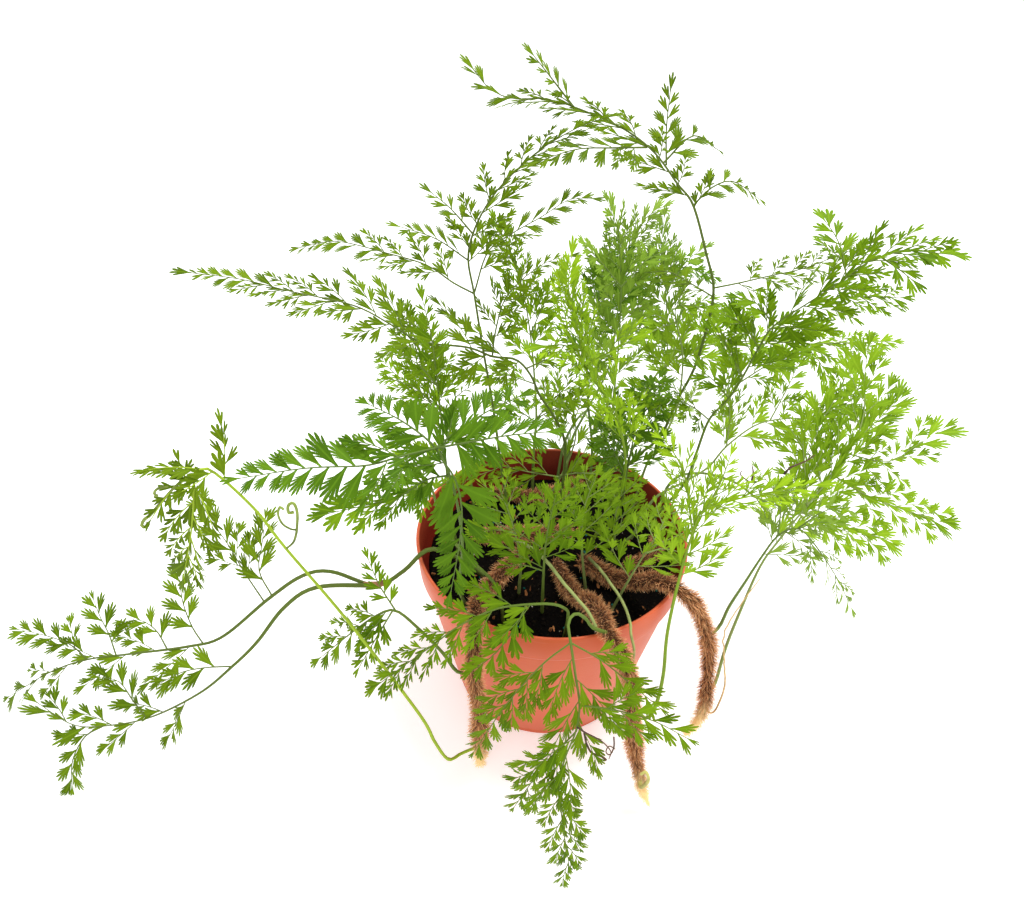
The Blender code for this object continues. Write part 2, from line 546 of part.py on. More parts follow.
class Frond:
    """One frond: its stem and arms are grown first, its blades when all stems stand."""

    def __init__(self, name, main, arms, reach, start):
        self.name = name
        self.reach = reach * MM
        self.start = start
        points = to_metres(main, TOUCH_GAP)
        self.main = smooth_route(points, RACHIS_STEP)
        self.arms = [smooth_route(to_metres(arm, 0), RACHIS_STEP) for arm in arms]
        self.bm = bmesh.new()
        self.stems = []
        self.grow()

    def grow(self):
        """Loft the rachis from a base square and each arm from the rachis' side."""
        points = self.main
        radii = np.linspace(STIPE_RADIUS, TIP_RADIUS, len(points))
        direction = tangents(points)
        side = sides(direction)
        top = self.foot_block(points, direction, side, radii)
        grow_stem(self.bm, top, points[1:], direction[1:], side[1:], radii[1:])
        self.stems.append((points, direction, side))
        for arm in self.arms:
            towards = arm[1] - arm[0]
            towards /= np.linalg.norm(towards)
            self.bm.normal_update()
            face = side_face(self.bm, arm[0] + 0.001 * towards, towards)
            radii = np.linspace(STIPE_RADIUS * 0.75, TIP_RADIUS, len(arm))
            direction = tangents(arm)
            side = sides(direction)
            grow_stem(self.bm, face, arm, direction, side, radii)
            self.stems.append((arm, direction, side))

    def foot_block(self, points, direction, side, radii):
        """Shape a cube into the stem's first length and return its top face."""
        verts = bmesh.ops.create_cube(self.bm, size=1.0)["verts"]
        verts.sort(key=lambda v: math.atan2(v.co.y, v.co.x))
        ends = [[v for v in verts if v.co.z < 0], [v for v in verts if v.co.z > 0]]
        top = next(face for face in self.bm.faces if all(v in ends[1] for v in face.verts))
        for i, end in enumerate(ends):
            corners = ring(points[i], direction[i], side[i], radii[i], radii[i])
            for vert, corner in zip(end, corners[::-1]):
                vert.co = Vector(corner)
        return top

    def samples(self):
        """Points along every stem of the frond."""
        return np.vstack([smooth_route(points, SAMPLE) for points, _, _ in self.stems])

    def grow_blades(self, standing, blades):
        """Extrude the flat pinna blades; returns their sample points."""
        grown = []
        for k, (points, direction, side) in enumerate(self.stems):
            first = self.start if k == 0 else 0.25
            reach = self.reach if k == 0 else self.reach * 0.75
            for i in range(1, len(points) - 1):
                place = (i + 0.5) / (len(points) - 1)
                if place < first:
                    continue
                taper = 1 - 0.75 * (place - first) / (1 - first)
                hand = 1 if (i + k) % 2 else -1
                blade = self.grow_blade(points, direction, side, i, hand, reach * taper,
                                        [standing, *blades, *grown])
                if blade is not None:
                    grown.append(blade)
        return grown

    def grow_blade(self, points, direction, side, i, hand, reach, clouds):
        """Extrude one side face to a pointed blade, shortened until it is clear."""
        middle = (points[i] + points[i + 1]) / 2
        out = hand * side[i] * math.sin(BLADE_ANGLE) + direction[i] * math.cos(BLADE_ANGLE)
        along = (points[i + 1] - points[i]) * 0.42
        root = middle + hand * side[i] * BLADE_CLEARANCE * 1.25
        for shrink in BLADE_SHRINK:
            tip = middle + out * reach * shrink
            area = filled(root - along, root + along, tip)
            if any(nearest(area, cloud) < BLADE_CLEARANCE for cloud in clouds):
                continue
            self.bm.normal_update()
            face = side_face(self.bm, middle, hand * side[i])
            up = np.cross(side[i], direction[i]) * BLADE_THICKNESS / 2
            width = direction[i] * BLADE_THICKNESS * 0.6
            extrude_to(self.bm, face, [tip + width + up, tip - width + up,
                                       tip - width - up, tip + width - up])
            return area
        return None

    def finish(self, parts, mat):
        """Put the frond in the scene."""
        bmesh.ops.triangulate(self.bm, faces=self.bm.faces[:])
        bmesh.ops.recalc_face_normals(self.bm, faces=self.bm.faces[:])
        add_object(self.name, mesh_from(self.bm, self.name), parts, mat)


def build_fronds(parts):
    """Grow every frond, so that no blade meets another frond."""
    fronds = [Frond(name, *spec) for name, spec in FRONDS.items()]
    fixed = [smooth_route(to_metres(route, RHIZOME_RADIUS), SAMPLE) for route in RHIZOMES.values()]
    fixed.append(smooth_route(to_metres(ROOTLET, 0), SAMPLE))
    mats = {name: material(f"leaf_{name}", colour, 0.45) for name, colour in GREENS.items()}
    standing = np.vstack([frond.samples() for frond in fronds] + fixed)
    blades = []
    for frond in fronds:
        blades += frond.grow_blades(standing, blades)
        frond.finish(parts, mats[FROND_GREEN.get(frond.name, "fresh")])


def build_small_pieces(parts):
    """The dry rootlet by the right rhizome and the young coiled fiddlehead."""
    dry = material("dry_root", (0.42, 0.27, 0.10), 0.8)
    points = smooth_route(to_metres(ROOTLET, 0), 0.006)
    tube("dry_rootlet", points, np.full(len(points), ROOTLET_RADIUS), parts, dry)
    young = material("fiddlehead_green", (0.45, 0.45, 0.12), 0.6)
    points = smooth_route(to_metres(FIDDLEHEAD, 0), 0.0025)
    tube("fiddlehead", points, np.full(len(points), FIDDLEHEAD_RADIUS), parts, young)


def main():
    """Build the whole plant."""
    clear_scene()
    parts = new_collection("rabbits_foot_fern")
    cutters = new_collection("cutters")
    build_pot(parts, cutters)
    build_soil(parts)
    build_rhizomes(parts)
    build_fronds(parts)
    build_small_pieces(parts)


main()
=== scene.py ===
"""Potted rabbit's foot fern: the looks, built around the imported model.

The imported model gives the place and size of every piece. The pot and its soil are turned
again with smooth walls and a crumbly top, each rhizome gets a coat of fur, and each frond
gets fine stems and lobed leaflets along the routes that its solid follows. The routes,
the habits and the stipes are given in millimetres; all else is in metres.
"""

import json
import logging
import math
from dataclasses import dataclass, field
from enum import Enum, IntEnum
from typing import Any

import bmesh
import bpy
import numpy as np
from mathutils import Matrix, Vector, noise
from mathutils.geometry import tessellate_polygon

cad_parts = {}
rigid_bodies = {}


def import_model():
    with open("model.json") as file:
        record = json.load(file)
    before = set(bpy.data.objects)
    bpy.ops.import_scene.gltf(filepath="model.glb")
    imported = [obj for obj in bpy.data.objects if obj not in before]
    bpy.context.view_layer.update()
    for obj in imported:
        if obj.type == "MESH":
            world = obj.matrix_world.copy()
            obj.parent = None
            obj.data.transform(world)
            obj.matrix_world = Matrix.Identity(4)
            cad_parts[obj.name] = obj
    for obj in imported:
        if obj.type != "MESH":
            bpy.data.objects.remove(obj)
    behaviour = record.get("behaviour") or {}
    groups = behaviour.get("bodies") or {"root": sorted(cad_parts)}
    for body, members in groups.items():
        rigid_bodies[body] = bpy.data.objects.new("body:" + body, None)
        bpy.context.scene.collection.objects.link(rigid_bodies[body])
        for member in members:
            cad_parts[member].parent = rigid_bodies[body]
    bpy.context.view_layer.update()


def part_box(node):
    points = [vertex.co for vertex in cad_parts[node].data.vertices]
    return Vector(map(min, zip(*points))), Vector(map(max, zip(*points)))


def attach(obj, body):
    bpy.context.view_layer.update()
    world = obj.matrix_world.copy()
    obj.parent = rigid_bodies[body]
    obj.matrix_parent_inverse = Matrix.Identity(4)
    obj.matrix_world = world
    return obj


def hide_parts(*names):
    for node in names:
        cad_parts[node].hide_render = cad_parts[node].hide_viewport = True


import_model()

BODY = "root"
MM = 0.001
SOIL_EDGE_Z = 0.0750            # height of the soil where it meets the pot's wall
SOIL_CROWN = 0.0030             # how much higher it is in the middle
SOIL_SPREAD = 0.060             # the crown's radius, as the routes were laid out on it
FLOOR_GAP = 0.0006              # the least height of a leaf or hair over the floor
UP = np.array([0.0, 0.0, 1.0])
LOG = logging.getLogger("fern")

Colour = tuple[float, float, float]
Point = tuple[float, ...]


# --------------------------------------------------------------------- node trees

class Graph:
    """Builds one node tree, node by node."""

    def __init__(self, tree: bpy.types.NodeTree) -> None:
        """Keep the tree that the nodes go in."""
        self.tree = tree

    def add(self, kind: str, inputs: dict[Any, Any] | None = None,
            **settings: Any) -> bpy.types.Node:
        """Add a node, with its settings first and its inputs after them.

        Args:
            kind: the node's type name.
            inputs: for each input's name or number, a value or a socket to link.
            **settings: properties of the node itself.

        Returns:
            The new node.
        """
        node = self.tree.nodes.new(kind)
        for name, value in settings.items():
            setattr(node, name, value)
        for key, value in (inputs or {}).items():
            if isinstance(value, bpy.types.NodeSocket):
                self.tree.links.new(value, node.inputs[key])
            else:
                node.inputs[key].default_value = value
        return node

    def math(self, operation: str, *values: Any) -> bpy.types.NodeSocket:
        """Combine numbers with one Math node and return its result."""
        return self.add("ShaderNodeMath", dict(enumerate(values)),
                        operation=operation).outputs[0]

    def vector(self, operation: str, *values: Any) -> bpy.types.NodeSocket:
        """Combine vectors with one Vector Math node and return its vector."""
        return self.add("ShaderNodeVectorMath", dict(enumerate(values)),
                        operation=operation).outputs[0]

    def scaled(self, vector: Any, factor: Any) -> bpy.types.NodeSocket:
        """A vector times a number."""
        return self.add("ShaderNodeVectorMath", {0: vector, "Scale": factor},
                        operation="SCALE").outputs[0]


class ShaderGraph(Graph):
    """A material's node tree, with short ways to make its usual patterns."""

    def __init__(self, name: str) -> None:
        """Start an empty material."""
        self.material = bpy.data.materials.new(name)
        self.material.use_nodes = True
        super().__init__(self.material.node_tree)
        self.tree.nodes.clear()
        self.place = self.add("ShaderNodeTexCoord").outputs["Object"]

    def attribute(self, name: str) -> bpy.types.NodeSocket:
        """Read a number that the mesh carries."""
        return self.add("ShaderNodeAttribute", attribute_name=name).outputs["Fac"]

    def noise(self, scale: float, detail: float = 3.0, stretch: Point = (1, 1, 1)
              ) -> bpy.types.NodeSocket:
        """Noise over the piece; scale counts its waves in a metre.

        Args:
            scale: waves in a metre.
            detail: octaves of the noise.
            stretch: how much denser the waves are along each axis.

        Returns:
            The noise as a number around 0.5.
        """
        mapping = self.add("ShaderNodeMapping", {"Vector": self.place, "Scale": stretch})
        return self.add("ShaderNodeTexNoise", {"Vector": mapping.outputs[0], "Scale": scale,
                                               "Detail": detail}).outputs[0]

    def ramp(self, value: bpy.types.NodeSocket, low: float, high: float
             ) -> bpy.types.NodeSocket:
        """Spread the stretch from low to high over 0 to 1, with soft ends."""
        return self.add("ShaderNodeMapRange", {0: value, 1: low, 2: high},
                        interpolation_type="SMOOTHSTEP").outputs[0]

    def blend(self, share: bpy.types.NodeSocket, first: Any, second: Any
              ) -> bpy.types.NodeSocket:
        """Mix two colours; a plain colour is given as three numbers."""
        ends = [(*c, 1.0) if isinstance(c, tuple) else c for c in (first, second)]
        return self.add("ShaderNodeMix", {0: share, 6: ends[0], 7: ends[1]},
                        data_type="RGBA").outputs[2]

    def bump(self, height: bpy.types.NodeSocket, strength: float, depth: float
             ) -> bpy.types.NodeSocket:
        """A normal that stands for fine relief of a depth in metres."""
        return self.add("ShaderNodeBump", {"Height": height, "Strength": strength,
                                           "Distance": depth}).outputs[0]

    def surface(self, colour: bpy.types.NodeSocket, roughness: Any, shine: float,
                **others: Any) -> bpy.types.NodeSocket:
        """An opaque surface.

        Args:
            colour: its colour.
            roughness: its roughness, a number or a pattern.
            shine: how strongly it mirrors, where 0.5 is common plastic.
            **others: further inputs, with _ for each space in their names.

        Returns:
            The shader.
        """
        inputs = {"Base Color": colour, "Roughness": roughness,
                  "Specular IOR Level": shine}
        inputs.update({name.replace("_", " "): value for name, value in others.items()})
        return self.add("ShaderNodeBsdfPrincipled", inputs).outputs[0]

    def finish(self, shader: bpy.types.NodeSocket) -> bpy.types.Material:
        """Link the shader to the output and return the material."""
        self.add("ShaderNodeOutputMaterial", {"Surface": shader})
        return self.material


class GrowthTree(Graph):
    """A geometry node tree with named inputs, run once on a mesh to make a plain piece."""

    def __init__(self, name: str, inputs: dict[str, str]) -> None:
        """Start a tree.

        Args:
            name: the tree's name.
            inputs: for each input beside Geometry, its socket's type.
        """
        super().__init__(bpy.data.node_groups.new(name, "GeometryNodeTree"))
        faces = self.tree.interface
        faces.new_socket("Geometry", in_out="OUTPUT", socket_type="NodeSocketGeometry")
        self.keys = {}
        for label, kind in {"Geometry": "Geometry", **inputs}.items():
            socket = faces.new_socket(label, in_out="INPUT", socket_type=f"NodeSocket{kind}")
            self.keys[label] = socket.identifier
        self.given = self.add("NodeGroupInput").outputs

    def named(self, name: str, kind: str = "FLOAT") -> bpy.types.NodeSocket:
        """Read an attribute of the mesh by its name."""
        return self.add("GeometryNodeInputNamedAttribute", {"Name": name},
                        data_type=kind).outputs["Attribute"]

    def store(self, geometry: bpy.types.NodeSocket, name: str, value: Any,
              kind: str = "FLOAT") -> bpy.types.NodeSocket:
        """Write an attribute on the points and return the geometry that carries it."""
        return self.add("GeometryNodeStoreNamedAttribute",
                        {"Geometry": geometry, "Name": name, "Value": value},
                        data_type=kind, domain="POINT").outputs[0]

    def curve(self, mesh: bpy.types.NodeSocket) -> bpy.types.NodeSocket:
        """The loose lines of a mesh, as curves."""
        return self.add("GeometryNodeMeshToCurve", {"Mesh": mesh}).outputs[0]

    def swept(self, lines: bpy.types.NodeSocket, sides: Any) -> bpy.types.NodeSocket:
        """Round closed stems along curves, as thick as the curves' points say."""
        ring = self.add("GeometryNodeCurvePrimitiveCircle",
                        {"Resolution": sides, "Radius": 1.0})
        return self.add("GeometryNodeCurveToMesh", {
            "Curve": lines, "Profile Curve": ring.outputs[0], "Fill Caps": True,
            "Scale": self.named("thickness")}).outputs[0]

    def pushed(self, geometry: bpy.types.NodeSocket, offset: bpy.types.NodeSocket
               ) -> bpy.types.NodeSocket:
        """Move every point by an offset."""
        return self.add("GeometryNodeSetPosition",
                        {"Geometry": geometry, "Offset": offset}).outputs[0]

    def joined(self, *parts: bpy.types.NodeSocket) -> bpy.types.NodeSocket:
        """Several geometries as one."""
        node = self.add("GeometryNodeJoinGeometry")
        for part in parts:
            self.tree.links.new(part, node.inputs[0])
        return node.outputs[0]

    def which(self, count: int, seed: Any) -> bpy.types.NodeSocket:
        """A random whole number from 0 up to one less than the count."""
        return self.add("FunctionNodeRandomValue", {4: 0, 5: count - 1, 8: seed},
                        data_type="INT").outputs[2]

    def random(self, low: Any, high: Any, seed: Any) -> bpy.types.NodeSocket:
        """A random number, or a random vector if the limits are tuples."""
        if isinstance(low, tuple):
            node = self.add("FunctionNodeRandomValue", {0: low, 1: high, 8: seed},
                            data_type="FLOAT_VECTOR")
            return node.outputs[0]
        node = self.add("FunctionNodeRandomValue", {2: low, 3: high, 8: seed},
                        data_type="FLOAT")
        return node.outputs[1]

    def turned(self, face: bpy.types.NodeSocket, lie: bpy.types.NodeSocket
               ) -> bpy.types.NodeSocket:
        """The rotation that points a piece's +Y along lie and its +Z towards face."""
        return self.add("FunctionNodeAxesToRotation",
                        {"Primary Axis": lie, "Secondary Axis": face},
                        primary_axis="Y", secondary_axis="Z").outputs[0]

    def planted(self, points: bpy.types.NodeSocket, shapes: bpy.types.NodeSocket,
                index: Any, rotation: Any, scale: Any) -> bpy.types.NodeSocket:
        """Put one of a collection's shapes on every point.

        Args:
            points: the points to plant.
            shapes: the collection of shapes.
            index: which shape, by its place in the collection.
            rotation: how the shape is turned.
            scale: how large it is.

        Returns:
            The planted shapes, as instances.
        """
        parts = self.add("GeometryNodeCollectionInfo", {
            "Collection": shapes, "Separate Children": True, "Reset Children": True})
        return self.add("GeometryNodeInstanceOnPoints", {
            "Points": points, "Instance": parts.outputs[0], "Pick Instance": True,
            "Instance Index": index, "Rotation": rotation, "Scale": scale}).outputs[0]

    def finish(self, geometry: bpy.types.NodeSocket) -> None:
        """End the tree: real copies of every instance, in the given finish."""
        real = self.add("GeometryNodeRealizeInstances", {"Geometry": geometry})
        dressed = self.add("GeometryNodeSetMaterial", {
            "Geometry": real.outputs[0], "Material": self.given["Finish"]})
        self.add("NodeGroupOutput", {"Geometry": dressed.outputs[0]})

    def run(self, name: str, mesh: bpy.types.Mesh, values: dict[str, Any]
            ) -> bpy.types.Object:
        """Run the tree on a mesh.

        Args:
            name: name of the piece that comes out.
            mesh: what the tree's Geometry input gets.
            values: a value for each of the tree's other inputs.

        Returns:
            A plain mesh object with no modifier left on it.
        """
        source = new_object(f"{name}_source", mesh)
        modifier = source.modifiers.new("growth", "NODES")
        modifier.node_group = self.tree
        for label, value in values.items():
            modifier[self.keys[label]] = value
        result = plain_mesh(source)
        source.modifiers.remove(modifier)
        bpy.data.objects.remove(source)
        result.name = name
        return new_object(name, result)


# -------------------------------------------------------------------- small helpers

def new_object(name: str, data: Any) -> bpy.types.Object:
    """Make an object at the origin and link it to the scene."""
    obj = bpy.data.objects.new(name, data)
    bpy.context.scene.collection.objects.link(obj)
    return obj


def plain_mesh(obj: bpy.types.Object) -> bpy.types.Mesh:
    """An object's shape, with its modifiers worked in, as a mesh of its own."""
    depsgraph = bpy.context.evaluated_depsgraph_get()
    return bpy.data.meshes.new_from_object(
        obj.evaluated_get(depsgraph), preserve_all_data_layers=True, depsgraph=depsgraph)


def keep_shape(shape: bmesh.types.BMesh, mesh: bpy.types.Mesh) -> bpy.types.Mesh:
    """Write a shape into a mesh, free the shape and return the mesh."""
    shape.to_mesh(mesh)
    shape.free()
    return mesh


def new_kit(name: str, meshes: list[bpy.types.Mesh]) -> bpy.types.Collection:
    """Keep shapes for planting in a collection that the scene doesn't show."""
    kit = bpy.data.collections.new(name)
    for number, mesh in enumerate(meshes):
        kit.objects.link(bpy.data.objects.new(f"{name}_{number:02d}", mesh))
    return kit


def drop_kit(kit: bpy.types.Collection) -> None:
    """Remove a kit once nothing is planted from it any more."""
    for obj in list(kit.objects):
        bpy.data.objects.remove(obj)
    bpy.data.collections.remove(kit)


def mesh_of(name: str, verts: Any, edges: Any = (), faces: Any = (),
            **attributes: Any) -> bpy.types.Mesh:
    """Make a mesh that carries attributes on its points.

    Args:
        name: the mesh's name.
        verts: its points.
        edges: its loose edges.
        faces: its faces.
        **attributes: for each name, one number or one vector for each point.

    Returns:
        The mesh.
    """
    mesh = bpy.data.meshes.new(name)
    mesh.from_pydata([tuple(map(float, v)) for v in verts], list(edges), list(faces))
    for label, values in attributes.items():
        values = np.asarray(values)
        kind, key = ("FLOAT_VECTOR", "vector") if values.ndim == 2 else ("FLOAT", "value")
        if values.dtype.kind == "i":
            kind = "INT"
        layer = mesh.attributes.new(label, kind, "POINT")
        layer.data.foreach_set(key, values.ravel())
    return mesh


def chain(count: int, first: int = 0) -> list[tuple[int, int]]:
    """The edges of a line of points that are numbered one after another."""
    return [(i, i + 1) for i in range(first, first + count - 1)]


def place_piece(piece: bpy.types.Object, slot: str, *nodes: str) -> None:
    """Let a finished piece ride on the plant and stand for its CAD nodes."""
    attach(piece, BODY)
    if nodes:
        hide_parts(*nodes)
    LOG.info("%-22s %7d faces", piece.name, len(piece.data.polygons))


def unit(vector: np.ndarray) -> np.ndarray:
    """The vector at length one."""
    return vector / max(np.linalg.norm(vector), 1e-9)


def smooth_route(points: np.ndarray, step: float) -> np.ndarray:
    """Points at an even step along the Catmull-Rom curve through a route."""
    ends = np.vstack([2 * points[0] - points[1], points, 2 * points[-1] - points[-2]])
    fine = []
    for i in range(len(points) - 1):
        a, b, c, d = ends[i:i + 4]
        for t in np.linspace(0, 1, 12, endpoint=False):
            fine.append(0.5 * (2 * b + (c - a) * t + (2 * a - 5 * b + 4 * c - d) * t ** 2
                               + (3 * b - a - 3 * c + d) * t ** 3))
    fine = np.array(fine + [points[-1]])
    along = np.concatenate([[0], np.cumsum(np.linalg.norm(np.diff(fine, axis=0), axis=1))])
    places = np.linspace(0, along[-1], max(2, int(round(along[-1] / step)) + 1))
    return np.stack([np.interp(places, along, fine[:, k]) for k in range(3)], axis=1)


def tangents(points: np.ndarray) -> np.ndarray:
    """Unit directions along a route."""
    direction = np.gradient(points, axis=0)
    return direction / np.linalg.norm(direction, axis=1)[:, None]


# ------------------------------------------------------------------------- finishes

@dataclass(frozen=True)
class LeafFinish:
    """Thin green blades that let light through, and their stems."""

    name: str
    deep: Colour
    bright: Colour
    glow: Colour
    stem: Colour
    see_through: float = 0.30
    roughness: float = 0.55
    slot: str = ""

    def material(self) -> bpy.types.Material:
        """Colour by leaflet, by place along it and by stem; light shines through."""
        graph = ShaderGraph(self.name)
        patch = graph.noise(90.0, 2.0)
        fine = graph.noise(1400.0, 2.0)
        age = graph.math("MULTIPLY_ADD", patch, 0.5, graph.attribute("tint"))
        age = graph.math("MULTIPLY_ADD", graph.attribute("along"), 0.22, age)
        blade = graph.blend(graph.ramp(age, 0.15, 1.25), self.deep, self.bright)
        rib = graph.ramp(graph.math("ABSOLUTE", graph.attribute("across")), 0.16, 0.02)
        blade = graph.blend(graph.math("MULTIPLY", rib, 0.35), blade, self.glow)
        woody = graph.attribute("woody")
        stem = graph.blend(graph.math("MULTIPLY", patch, 0.4), self.stem, self.bright)
        colour = graph.blend(woody, blade, stem)
        front = graph.surface(colour, self.roughness, 0.06,
                              Normal=graph.bump(fine, 0.3, 0.0002))
        back = graph.add("ShaderNodeBsdfTranslucent", {
            "Color": graph.blend(woody, graph.blend(age, blade, self.glow), stem)})
        both = graph.add("ShaderNodeMixShader", {
            0: self.see_through, 1: front, 2: back.outputs[0]})
        return graph.finish(both.outputs[0])


class Green(Enum):
    """The greens that the fronds come in, from young to old; the hazy and pale ones paint light.
    """

    LIME = LeafFinish("leaf_lime", (0.105, 0.215, 0.005), (0.235, 0.400, 0.010),
                      (0.38, 0.55, 0.025), (0.24, 0.36, 0.040))
    FRESH = LeafFinish("leaf_fresh", (0.040, 0.098, 0.001), (0.130, 0.232, 0.004),
                       (0.24, 0.41, 0.012), (0.170, 0.240, 0.055))
    MOSS = LeafFinish("leaf_moss", (0.034, 0.072, 0.001), (0.108, 0.176, 0.004),
                      (0.20, 0.33, 0.012), (0.150, 0.205, 0.050), slot="leaf_fresh")
    SPRING = LeafFinish("leaf_spring", (0.040, 0.078, 0.001), (0.104, 0.168, 0.004),
                        (0.20, 0.32, 0.012), (0.460, 0.620, 0.060), slot="leaf_fresh")
    LIGHT = LeafFinish("leaf_light", (0.068, 0.146, 0.002), (0.178, 0.304, 0.009),
                       (0.31, 0.50, 0.026), (0.310, 0.390, 0.140), slot="leaf_fresh")
    # painted light: a paler, bluer copy of the light green for the top back fronds, standing in
    # for the strong light that washes them out
    HAZE = LeafFinish("leaf_haze", (0.070, 0.142, 0.008), (0.182, 0.300, 0.026),
                      (0.31, 0.49, 0.055), (0.210, 0.300, 0.080), slot="leaf_fresh")
    DARK = LeafFinish("leaf_dark", (0.027, 0.078, 0.002), (0.080, 0.168, 0.006),
                      (0.15, 0.30, 0.014), (0.150, 0.220, 0.060))
    # painted light: a paler, greyer green for the back fronds, standing in for the strong light
    # that washes them out
    PALE = LeafFinish("leaf_pale", (0.090, 0.160, 0.014), (0.190, 0.310, 0.036),
                      (0.32, 0.48, 0.07), (0.190, 0.270, 0.080))


@dataclass(frozen=True)
class PotFinish:
    """Matte terracotta-coloured plastic with faint moulding rings, scuffs and painted shade
    within.
    """

    name: str = "pot_plastic"
    colour: Colour = (0.60, 0.105, 0.036)
    worn: Colour = (0.63, 0.165, 0.075)
    # painted shade: the colour that stands for the pot's unlit interior
    inside_shade: Colour = (0.130, 0.010, 0.004)

    def material(self) -> bpy.types.Material:
        """Even plastic, paler where it is scuffed, with painted shade darkening its interior."""
        graph = ShaderGraph(self.name)
        cloud = graph.ramp(graph.noise(28.0, 4.0), 0.42, 0.75)
        scuff = graph.ramp(graph.noise(60.0, 5.0, (1, 1, 14)), 0.62, 0.74)
        wear = graph.math("MULTIPLY_ADD", scuff, 0.55, graph.math("MULTIPLY", cloud, 0.35))
        colour = graph.blend(wear, self.colour, self.worn)
        # painted shade: the inner walls and the lip's inner side take the dark interior colour
        inner = graph.attribute("inner")
        colour = graph.blend(inner, colour, self.inside_shade)
        grain = graph.noise(2600.0, 2.0)
        ring = graph.noise(9.0, 2.0, (0.1, 0.1, 60))
        relief = graph.math("MULTIPLY_ADD", ring, 0.5, grain)
        rough = graph.math("MULTIPLY_ADD", scuff, 0.2, 0.42)
        return graph.finish(graph.surface(colour, rough, 0.22,
                                          Normal=graph.bump(relief, 0.18, 0.0003)))


@dataclass(frozen=True)
class EarthFinish:
    """Rough matter from the potting mix: peat, bark, perlite or feed granules."""

    name: str
    dark: Colour
    light: Colour
    roughness: float = 0.95
    scale: float = 900.0

    def material(self) -> bpy.types.Material:
        """Speckled colour that differs from grain to grain."""
        graph = ShaderGraph(self.name)
        speck = graph.noise(self.scale, 4.0)
        share = graph.math("MULTIPLY_ADD", graph.attribute("tint"), 0.6,
                           graph.math("MULTIPLY", speck, 0.6))
        colour = graph.blend(graph.ramp(share, 0.2, 0.9), self.dark, self.light)
        return graph.finish(graph.surface(colour, self.roughness, 0.06,
                                          Normal=graph.bump(speck, 0.8, 0.0006)))


@dataclass(frozen=True)
class FurFinish:
    """Brown felt of scales and hairs, cream where the rhizome still grows."""

    name: str = "rhizome_fur"
    root: Colour = (0.060, 0.024, 0.009)
    hair: Colour = (0.47, 0.185, 0.072)
    tip: Colour = (0.84, 0.47, 0.22)
    young: Colour = (0.94, 0.72, 0.36)

    def material(self) -> bpy.types.Material:
        """Dark at the skin, tan along the hair, cream at its tip."""
        graph = ShaderGraph(self.name)
        along = graph.attribute("along")
        tuft = graph.noise(420.0, 3.0)
        shade = graph.math("MULTIPLY_ADD", graph.attribute("tint"), 0.45, along)
        shade = graph.math("MULTIPLY_ADD", tuft, 0.55, graph.math("SUBTRACT", shade, 0.40))
        coat = graph.blend(graph.ramp(shade, 0.0, 0.62), self.root, self.hair)
        coat = graph.blend(graph.ramp(shade, 0.45, 1.05), coat, self.tip)
        ripe = graph.math("MULTIPLY_ADD", tuft, 0.3, graph.attribute("ripe"))
        coat = graph.blend(graph.ramp(ripe, 0.55, 1.05), coat, self.young)
        return graph.finish(graph.surface(coat, 0.8, 0.08, Sheen_Weight=0.06,
                                          Sheen_Roughness=0.5))


@dataclass(frozen=True)
class WiryFinish:
    """Dry or woody skin of a thin stem, darker along its creases."""

    name: str
    dark: Colour
    light: Colour
    roughness: float = 0.7

    def material(self) -> bpy.types.Material:
        """Streaks of two colours along the piece."""
        graph = ShaderGraph(self.name)
        streak = graph.noise(350.0, 4.0)
        share = graph.math("MULTIPLY_ADD", graph.attribute("tint"), 0.5, streak)
        colour = graph.blend(graph.ramp(share, 0.3, 0.95), self.dark, self.light)
        return graph.finish(graph.surface(colour, self.roughness, 0.3,
                                          Normal=graph.bump(streak, 0.5, 0.0003)))


PEAT = EarthFinish("peat", (0.0016, 0.0011, 0.0009), (0.012, 0.008, 0.005))
BARK = EarthFinish("bark_chip", (0.11, 0.035, 0.012), (0.48, 0.20, 0.075), 0.85)
PERLITE = EarthFinish("perlite_grain", (0.30, 0.27, 0.21), (0.72, 0.68, 0.58), 0.9)
GRANULE = EarthFinish("feed_granule", (0.004, 0.070, 0.055), (0.020, 0.20, 0.16), 0.5)
ROOT_SKIN = WiryFinish("dry_root", (0.30, 0.17, 0.055), (0.62, 0.42, 0.16))
DEAD_LEAF = WiryFinish("withered_leaf", (0.028, 0.018, 0.014), (0.13, 0.075, 0.040), 0.8)
NODE_SKIN = WiryFinish("stem_swelling", (0.10, 0.040, 0.018), (0.32, 0.17, 0.070), 0.8)
YOUNG_SKIN = WiryFinish("young_tip_skin", (0.070, 0.105, 0.008), (0.23, 0.30, 0.055), 0.6)
PALE_SKIN = WiryFinish("pale_stem_skin", (0.10, 0.13, 0.030), (0.29, 0.34, 0.105), 0.6)
HOOK_SKIN = WiryFinish("fiddlehead_skin", (0.18, 0.155, 0.035), (0.46, 0.44, 0.12), 0.55)


# ---------------------------------------------------------------------------- stage

@dataclass(frozen=True)
class SoftBox:
    """A square area light: the place of its middle, its side and its power in watts."""

    name: str
    place: Point
    side: float
    power: float


